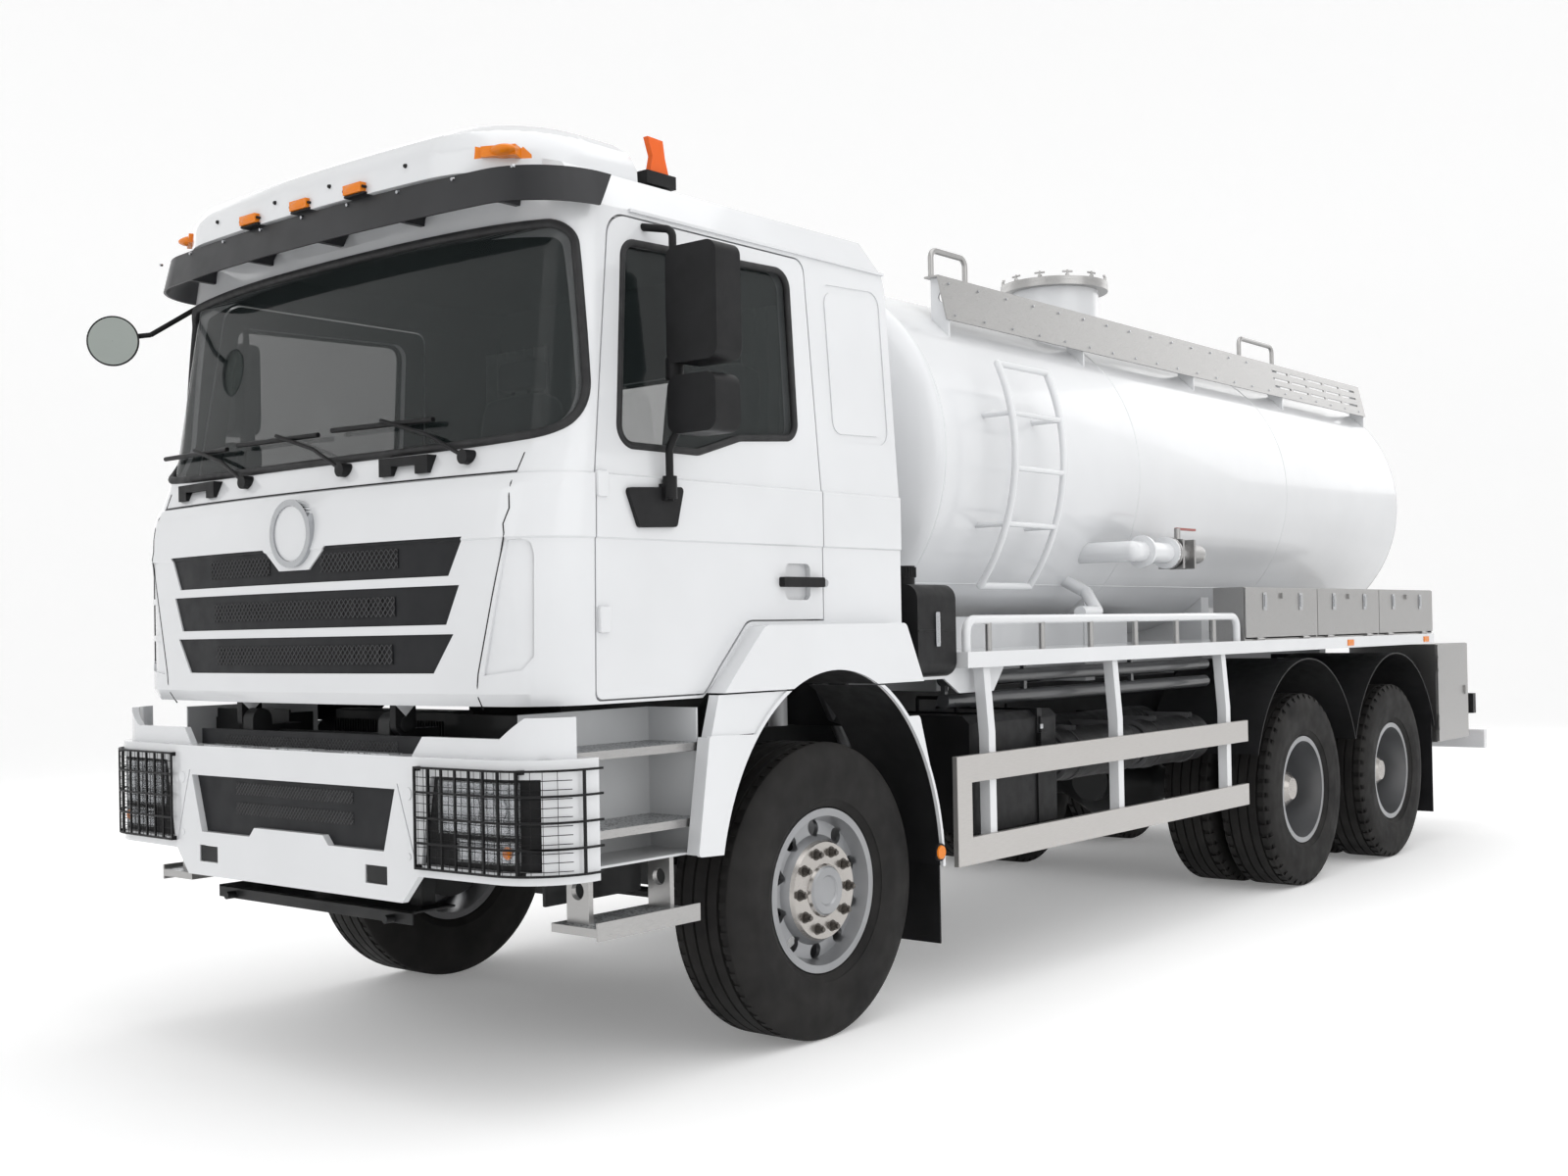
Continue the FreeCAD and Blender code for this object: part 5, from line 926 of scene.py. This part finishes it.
lower = [mesh_band(0, z, z + 0.042, 0.34, lower_front, 0.018) for z in (0.880, 0.950)]
lower.append(mesh_band(0, 1.112, 1.154, 0.50, upper_front, 0.018))
piece("bumper_mesh", gathered(lower), "chassis", mesh_grey)
# Black plates just behind the bumper's mesh bands: painted shade in the openings.
bumper_shade_backs = bmesh.new()
for z in (0.880, 0.950):
    block(bumper_shade_backs, (-0.34, -1.4572, z), (0.34, -1.4560, z + 0.042), 0.0003)
block(bumper_shade_backs, (-0.50, -1.3939, 1.112), (0.50, -1.3930, 1.154), 0.0003)
piece("bumper_mesh_shade", bumper_shade_backs, "chassis", plastic)
pads = bmesh.new()
for x in (-0.42, 0.0, 0.42):
    block(pads, (x - 0.12, -1.462, 1.117), (x + 0.12, -1.408, 1.1215), 0.0015)
piece("bumper_treads", pads, "chassis", tread_metal)
plugs = bmesh.new()
for x in (-0.655, 0.655):
    bar(plugs, (x, -1.474, 1.000), (x, -1.4815, 1.000), 0.021, 28, 0.94)
    bar(plugs, (x, -1.474, 0.800), (x, -1.4812, 0.800), 0.012, 20, 0.94)
piece("bumper_plugs", plugs, "chassis", white)
underrun = bmesh.new()
block(underrun, (-0.56, -1.395, 0.596), (0.56, -1.215, 0.604), 0.002)
block(underrun, (-0.56, -1.395, 0.560), (0.56, -1.388, 0.604), 0.002)
for x in (-0.46, 0.46):
    block(underrun, (x - 0.03, -1.300, 0.600), (x + 0.03, -1.240, 0.800), 0.003)
    bar(underrun, (x, -1.385, 0.575), (x, -1.430, 0.575), 0.014, 16)
piece("front_underrun_step", underrun, "chassis", chassis_paint)
cooling = bmesh.new()
block(cooling, (-0.335, -1.04, 0.66), (0.335, -0.93, 1.235), 0.01)
for index in range(44):
    x = -0.326 + index * 0.01516
    block(cooling, (x - 0.002, -1.046, 0.70), (x + 0.002, -1.038, 1.20), 0.0008)
for side in (-1, 1):
    side_block(cooling, side, (0.45, 0.93), (-1.16, -1.15), (0.80, 1.235), 0.003)
    side_block(cooling, side, (0.925, 0.940), (-1.16, -0.72), (0.62, 1.20), 0.003)
bar(cooling, (-0.42, -1.25, 1.155), (0.42, -1.25, 1.155), 0.016, 20)
piece("radiator_and_shields", cooling, "chassis", chassis_paint)
# Black plates at the back of the towing recesses: painted shade in the recesses.
towing_shade_plates = bmesh.new()
for x in (-0.4875, 0.4875):
    face = bumper_face(x, 0.0035)
    block(towing_shade_plates, (x - 0.0545, face, 0.7025), (x + 0.0545, face + 0.003, 0.7575), 0.0005)
piece("tow_recess_shade", towing_shade_plates, "chassis", chassis_paint)

reflector = Look("lamp_reflector", Metallic=1.0, Base_Color=(0.42, 0.43, 0.45, 1))
reflector.rough(0.16, 0.1, 30.0)
reflector.relief(reflector.noise(40, detail=0, stretch=(1, 0.2, 0.25)), 0.003, 0.5)
lens = Look("clear_lens", Base_Color=(0.75, 0.78, 0.80, 1), Roughness=0.03, Alpha=0.10)
dressed("headlamps", plastic)


def bowl(x, z, radius, inset, deep):
    """A round reflector that opens forward from the lamp's face, with its bulb."""
    bm = spun([(0.0, radius), (0.0015, radius * 1.03), (0.003, radius), (deep * 0.5, radius * 0.86),
               (deep * 0.86, radius * 0.5), (deep, radius * 0.22), (deep * 0.3, radius * 0.12),
               (deep * 0.3, 0.0006), (deep + 0.002, 0.0006), (deep + 0.002, radius * 0.9)], 40)
    turned(bm, 90, "Z")
    return moved(bm, (x, AXLE_Y + bumper_face(x, inset), z))


def lens_shell(low, high, wide, inset, thick):
    """A clear cover that follows the bumper's curve between two heights."""
    bm = bmesh.new()
    across = [wide[0] + (wide[1] - wide[0]) * index / 14 for index in range(15)]
    rows = [bm.verts.new((x, AXLE_Y + bumper_face(x, inset), low)) for x in across]
    edges = [bm.edges.new(ends) for ends in zip(rows, rows[1:])]
    raised = bmesh.ops.extrude_edge_only(bm, edges=edges)["geom"]
    bmesh.ops.translate(bm, verts=[item for item in raised if isinstance(item, bmesh.types.BMVert)],
                        vec=(0, 0, high - low))
    bmesh.ops.recalc_face_normals(bm, faces=bm.faces)
    bmesh.ops.solidify(bm, geom=bm.faces, thickness=thick)
    return bm


def guard_wires(bm):
    """Fine wires between the guard's main ones."""
    for row in range(11):
        z = 0.782 + row * 0.0275
        spots = [0.715 + 0.045 * step for step in range(13)]
        for x, ahead in zip(spots, spots[1:]):
            bar(bm, (x, bumper_face(x, -0.016), z), (ahead, bumper_face(ahead, -0.016), z), 0.0013, 4)
    for column in range(19):
        x = 0.722 + column * 0.0285
        bar(bm, (x, bumper_face(x, -0.0175), 0.770), (x, bumper_face(x, -0.0175), 1.086), 0.0013, 4)
    return bm


for side, name in SIDES:
    bowls = gathered([bowl(0.900, 0.968, 0.070, 0.0105, 0.016), bowl(1.030, 0.970, 0.054, 0.0105, 0.014),
                      bowl(0.950, 0.836, 0.028, 0.0105, 0.010), bowl(1.022, 0.836, 0.028, 0.0105, 0.010)])
    field = gathered([lens_shell(0.892, 1.044, (0.800, 1.125), 0.0112, 0.001),
                      lens_shell(0.806, 0.866, (0.880, 1.125), 0.0112, 0.001)])
    covers = gathered([lens_shell(0.884, 1.050, (0.792, 1.135), 0.0035, 0.002),
                       lens_shell(0.800, 0.872, (0.872, 1.135), 0.0035, 0.002)])
    bulb = bar(bmesh.new(), (1.085, bumper_face(1.085, 0.0100), 0.836),
               (1.085, bumper_face(1.085, 0.0055), 0.836), 0.020, 24, 0.8)
    wires = guard_wires(bmesh.new())
    if side < 0:
        bowls, field, covers, bulb, wires = [other_side(bm) for bm in (bowls, field, covers, bulb, wires)]
    piece("lamp_bowls_" + name, bowls, "chassis", chrome)
    piece("lamp_fields_" + name, field, "chassis", reflector)
    piece("lamp_covers_" + name, covers, "chassis", lens)
    piece("turn_bulb_" + name, bulb, "chassis", amber)
    piece("lamp_guard_wires_" + name, wires, "chassis", plastic)
dressed("lamp_guards", plastic)


# Steps and front mudguards
# A folded sheet step box in grey-white paint with ribbed alloy treads, one tread hung below
# on cast arms, and moulded white arch panels over a black inner liner and flap.
step_grey = paint("step_grey_paint", (0.60, 0.61, 0.62), 0.35)


def step_look(middle, normal):
    in_box = middle.z > 0.759
    for top in (1.130, 0.880):
        if in_box and top - 0.029 < middle.z < top + 0.001 and abs(middle.x) > 0.9605:
            return 1 if normal.z > 0.9 else 2
    if middle.z < 0.757 and abs(middle.x) > 1.02:
        return 1 if normal.z > 0.9 and middle.z < 0.60 else 2
    return 3 if abs(middle.x) < 0.949 else 0


dressed("steps", step_grey, tread_metal, brushed, chassis_paint, pick=step_look, bevel=0.002)


def arch_look(middle, normal):
    if abs(middle.x) > 1.2355:
        return 0
    return 0 if middle.y < -0.652 and abs(middle.x) > 1.195 else 1


dressed("front_mudguards", white, plastic, pick=arch_look, splits=(1.195, 1.2355), crease=30)
for name, look, x, radius, taper in (("arch_amber_lamps", amber, (1.248, 1.262), 0.030, 0.86),
                                     ("arch_lamp_rims", plastic, (1.246, 1.256), 0.035, 1)):
    lamps = bmesh.new()
    for side in (1, -1):
        bar(lamps, (x[0] * side, 0.636, 0.615), (x[1] * side, 0.636, 0.615), radius, 32, taper)
    piece(name, lamps, "chassis", look)
flap_bolts = bmesh.new()
for side in (1, -1):
    for x in (0.95, 1.03, 1.11, 1.19):
        bar(flap_bolts, (x * side, 0.672, 0.58), (x * side, 0.677, 0.58), 0.007, 12, 0.7)
piece("flap_bolts", flap_bolts, "chassis", chrome)


# Deck, hand rails and side guards
# Folded white deck edges with a tube rail on brushed posts, and bare alloy guard rails on
# white bent posts.
dressed("deck", white, chassis_paint, crease=30,
        pick=lambda middle, normal: 1 if middle.z < 1.2005 and abs(middle.x) < 0.43 else 0)


def rail_look(middle, normal):
    spots = (1.100, 1.530, 1.960, 2.390, 2.820, 3.240)
    return 1 if middle.z < 1.510 and any(abs(middle.y - spot) < 0.016 for spot in spots) else 0


dressed("deck_rails", white, brushed, pick=rail_look)
alloy = Look("guard_alloy", Metallic=0.75)
drawn = alloy.noise(70, detail=4, stretch=(6, 0.3, 6))
alloy.shade(drawn, (0.47, 0.455, 0.44), (0.53, 0.515, 0.50))
alloy.set("Roughness", 0.30 + 0.14 * drawn)


def guard_look(middle, normal):
    if middle.y < 0.862 or abs(middle.x) > 1.2365 and (0.539 < middle.z < 0.651 or 0.869 < middle.z < 0.981):
        return 1
    return 0


dressed("side_guards", white, alloy, pick=guard_look, bevel=0.003)
reflectors = bmesh.new()
for side in (1, -1):
    for y in (5.016, 6.337):
        side_block(reflectors, side, (1.239, 1.246), (y - 0.045, y + 0.045), (1.342, 1.378))
piece("edge_reflectors", reflectors, "chassis", amber)


# Battery box, reservoir and air cylinders
# A black moulded battery lid under two straps with handles, a blow-moulded black reservoir
# with a level tube, and black air cylinders in steel bands.
damper_grey = paint("damper_grey_paint", (0.045, 0.047, 0.05), 0.32)
dressed("battery_box", plastic, bevel=0.006)
handles = bmesh.new()
for y in (1.15, 1.55):
    for start, end in (((0.80, y, 1.13), (0.80, y, 1.195)), ((1.00, y, 1.13), (1.00, y, 1.195)),
                       ((0.80, y, 1.195), (1.00, y, 1.195))):
        bar(handles, start, end, 0.009, 14)
    bar(handles, (1.172, y, 0.92), (1.172, y, 1.10), 0.006, 12)
    block(handles, (1.166, y - 0.02, 0.99), (1.186, y + 0.02, 1.03), 0.003)
piece("battery_handles", handles, "chassis", plastic)
clips = bmesh.new()
for y in (1.15, 1.55):
    for z in (0.905, 1.045):
        block(clips, (1.166, y - 0.012, z), (1.180, y + 0.012, z + 0.022), 0.003)
piece("battery_clips", clips, "chassis", chrome)


def side_tank_look(middle, normal):
    if 0.585 < middle.x < 0.70 and 0.66 < middle.y < 0.94 and middle.z < 1.30:
        return 1
    if middle.x > 0.63 and middle.y > 1.8 and abs(normal.y) > 0.9:
        return 2
    return 3 if middle.x < -0.43 else 0


dressed("side_tanks", plastic, damper_grey, drum_grey, chassis_paint, pick=side_tank_look, bevel=0.004)
gauge = bmesh.new()
block(gauge, (1.199, 0.708, 1.42), (1.208, 0.738, 1.56), 0.006)
piece("reservoir_level", gauge, "chassis", chrome)
tube = bar(bmesh.new(), (1.209, 0.723, 1.435), (1.209, 0.723, 1.545), 0.006, 16)
piece("reservoir_tube", tube, "chassis", lens)
cap = bmesh.new()
bar(cap, (1.040, 0.723, 1.700), (1.040, 0.723, 1.748), 0.050, 30, 0.94)
for index in range(24):
    turn = math.tau * index / 24
    rib = Vector((1.040 + 0.0495 * math.cos(turn), 0.723 + 0.0495 * math.sin(turn), 0))
    bar(cap, (rib.x, rib.y, 1.702), (rib.x, rib.y, 1.742), 0.003, 6)
piece("reservoir_cap", cap, "chassis", plastic)
seam_line = bmesh.new()
block(seam_line, (1.197, 0.592, 1.482), (1.203, 0.854, 1.488), 0.002)
piece("reservoir_seam", seam_line, "chassis", plastic)


# Tank
# Rolled steel plate welded to dished ends and sprayed white, with its hatch, drain elbow and
# rear outlet. The weld beads show through the paint.
TANK_MIDDLE = 2.285
TANK_RADIUS = 0.850
FLANGE_LOW = 3.4285
dressed("tank", white, brushed, crease=32,
        pick=lambda middle, normal: 1 if middle.z > FLANGE_LOW else 0)
beads = []
for y in (1.337, 3.150, 5.060, 6.960):
    ring = spun([(-0.006, TANK_RADIUS - 0.002), (-0.004, TANK_RADIUS + 0.0012), (0, TANK_RADIUS + 0.0022),
                 (0.004, TANK_RADIUS + 0.0012), (0.006, TANK_RADIUS - 0.002)], 160)
    turned(ring, 90, "Z")
    beads.append(moved(ring, (0, AXLE_Y + y, TANK_MIDDLE)))
seams = bmesh.new()
for side in (1, -1):
    bar(seams, (0.6167 * side, 1.345, 1.700), (0.6167 * side, 6.95, 1.700), 0.0035, 12)
piece("tank_weld_beads", gathered(beads + [seams]), "chassis", white, crease=60)

dressed("hatch_lid", brushed)
clamps = []
for index in range(12):
    if math.sin(math.radians(30 * index + 15)) > 0.90:
        continue
    clamp = bmesh.new()
    bar(clamp, (0.300, 0, 3.440), (0.300, 0, 3.512), 0.0065, 12)
    bar(clamp, (0.300, -0.030, 3.503), (0.300, 0.030, 3.503), 0.0055, 12)
    bar(clamp, (0.300, 0, 3.478), (0.300, 0, 3.490), 0.013, 6)
    turned(moved(clamp, -FRONT_AXLE), 30 * index + 15, "Z")
    clamps.append(moved(clamp, (0, AXLE_Y + 3.770, 0)))
piece("hatch_clamps", gathered(clamps), "hatch", brushed)


# Walkways, ladder and pipes
# Folded stainless walkway sheets on white pierced gussets, a white tube ladder bent round
# the tank, and the suction pipe with its valve.
def walk_look(middle, normal):
    inboard = abs(middle.x) < 0.641 and middle.z < 3.131
    near = any(abs(middle.y - spot) < 0.0062 for spot in (1.700, 2.960, 4.250, 5.530, 6.940))
    return 1 if inboard and near else 0


dressed("walkways", brushed, white, pick=walk_look)
walk_bolts = bmesh.new()
for side in (1, -1):
    for index in range(21):
        y = 1.74 + 0.255 * index
        x = 0.6435 * side
        bar(walk_bolts, (x - 0.002 * side, y, 2.952), (x + 0.006 * side, y, 2.9535), 0.007, 12, 0.75)
        if y < 5.3:
            bar(walk_bolts, (x - 0.037 * side, y, 3.104), (x - 0.028 * side, y, 3.1065), 0.007, 12, 0.75)
piece("walkway_bolts", walk_bolts, "chassis", chrome)
dressed("tank_ladder", white)
valve_red = paint("valve_red_paint", (0.30, 0.045, 0.03), 0.4)


def pipe_look(middle, normal):
    if middle.x > 0.93 and middle.z > 1.976:
        return 3
    if middle.x > 0.90 and 3.131 < middle.y < 3.49 and 1.77 < middle.z < 1.976:
        return 1
    return 2 if middle.x > 0.92 and middle.z < 1.36 else 0


dressed("pipework", white, brushed, damper_grey, valve_red, pick=pipe_look)


# Toolboxes
# Brushed stainless boxes on the deck and a cabinet at the rear, whose drop doors are held
# shut by plated over-centre latches.
dressed("toolboxes", brushed)
for name, side in (("left", 1), ("right", -1)):
    for index in (1, 2, 3):
        node = f"tool_door_{name}_{index}"
        dressed(node, brushed, bevel=0.001)
        low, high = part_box(node)
        latches = bmesh.new()
        for share in (0.25, 0.75):
            y = low.y + (high.y - low.y) * share - AXLE_Y
            side_block(latches, side, (1.232, 1.237), (y - 0.022, y + 0.022), (1.555, 1.652))
            side_block(latches, side, (1.232, 1.243), (y - 0.012, y + 0.012), (1.575, 1.640), 0.004)
        piece(f"latches_{name}_{index}", latches, node, chrome)
    dressed("cabinet_door_" + name, brushed, bevel=0.001)


# Rear mudguards, bumper and lamps
# Black moulded mudguards, a black underrun bar on welded legs with a lamp cluster each side,
# and a work lamp above the tank's rear end.
dressed("rear_mudguards", plastic)
red = Look("red_lens", Base_Color=(0.42, 0.012, 0.01, 1), Roughness=0.16, Coat_Weight=0.6)
red.relief(red.noise(110, detail=0), 0.0008, 0.5)


def rear_look(middle, normal):
    lamp = 0.819 < middle.z < 0.961 and 0.895 < abs(middle.x) < 1.205 and 7.409 < middle.y < 7.472
    if lamp and normal.y > 0.9:
        return 1
    return 2 if middle.z < 0.70 and middle.y > 7.63 else 0


dressed("rear_bumper", chassis_paint, red, white, pick=rear_look, bevel=0.003)
bars = bmesh.new()
for side in (1, -1):
    for x in (0.945, 1.050, 1.155):
        bar(bars, (x * side, 7.468, 0.890), (x * side, 7.478, 0.890), 0.042, 36, 0.9)
piece("rear_lamp_lenses", bars, "chassis", red)
work_lamp = bmesh.new()
bar(work_lamp, (0.0, 7.10, 3.02), (0.0, 7.18, 2.99), 0.055, 32, 1.15)
block(work_lamp, (-0.02, 6.98, 2.97), (0.02, 7.12, 2.99), 0.004)
piece("work_lamp", work_lamp, "chassis", plastic)
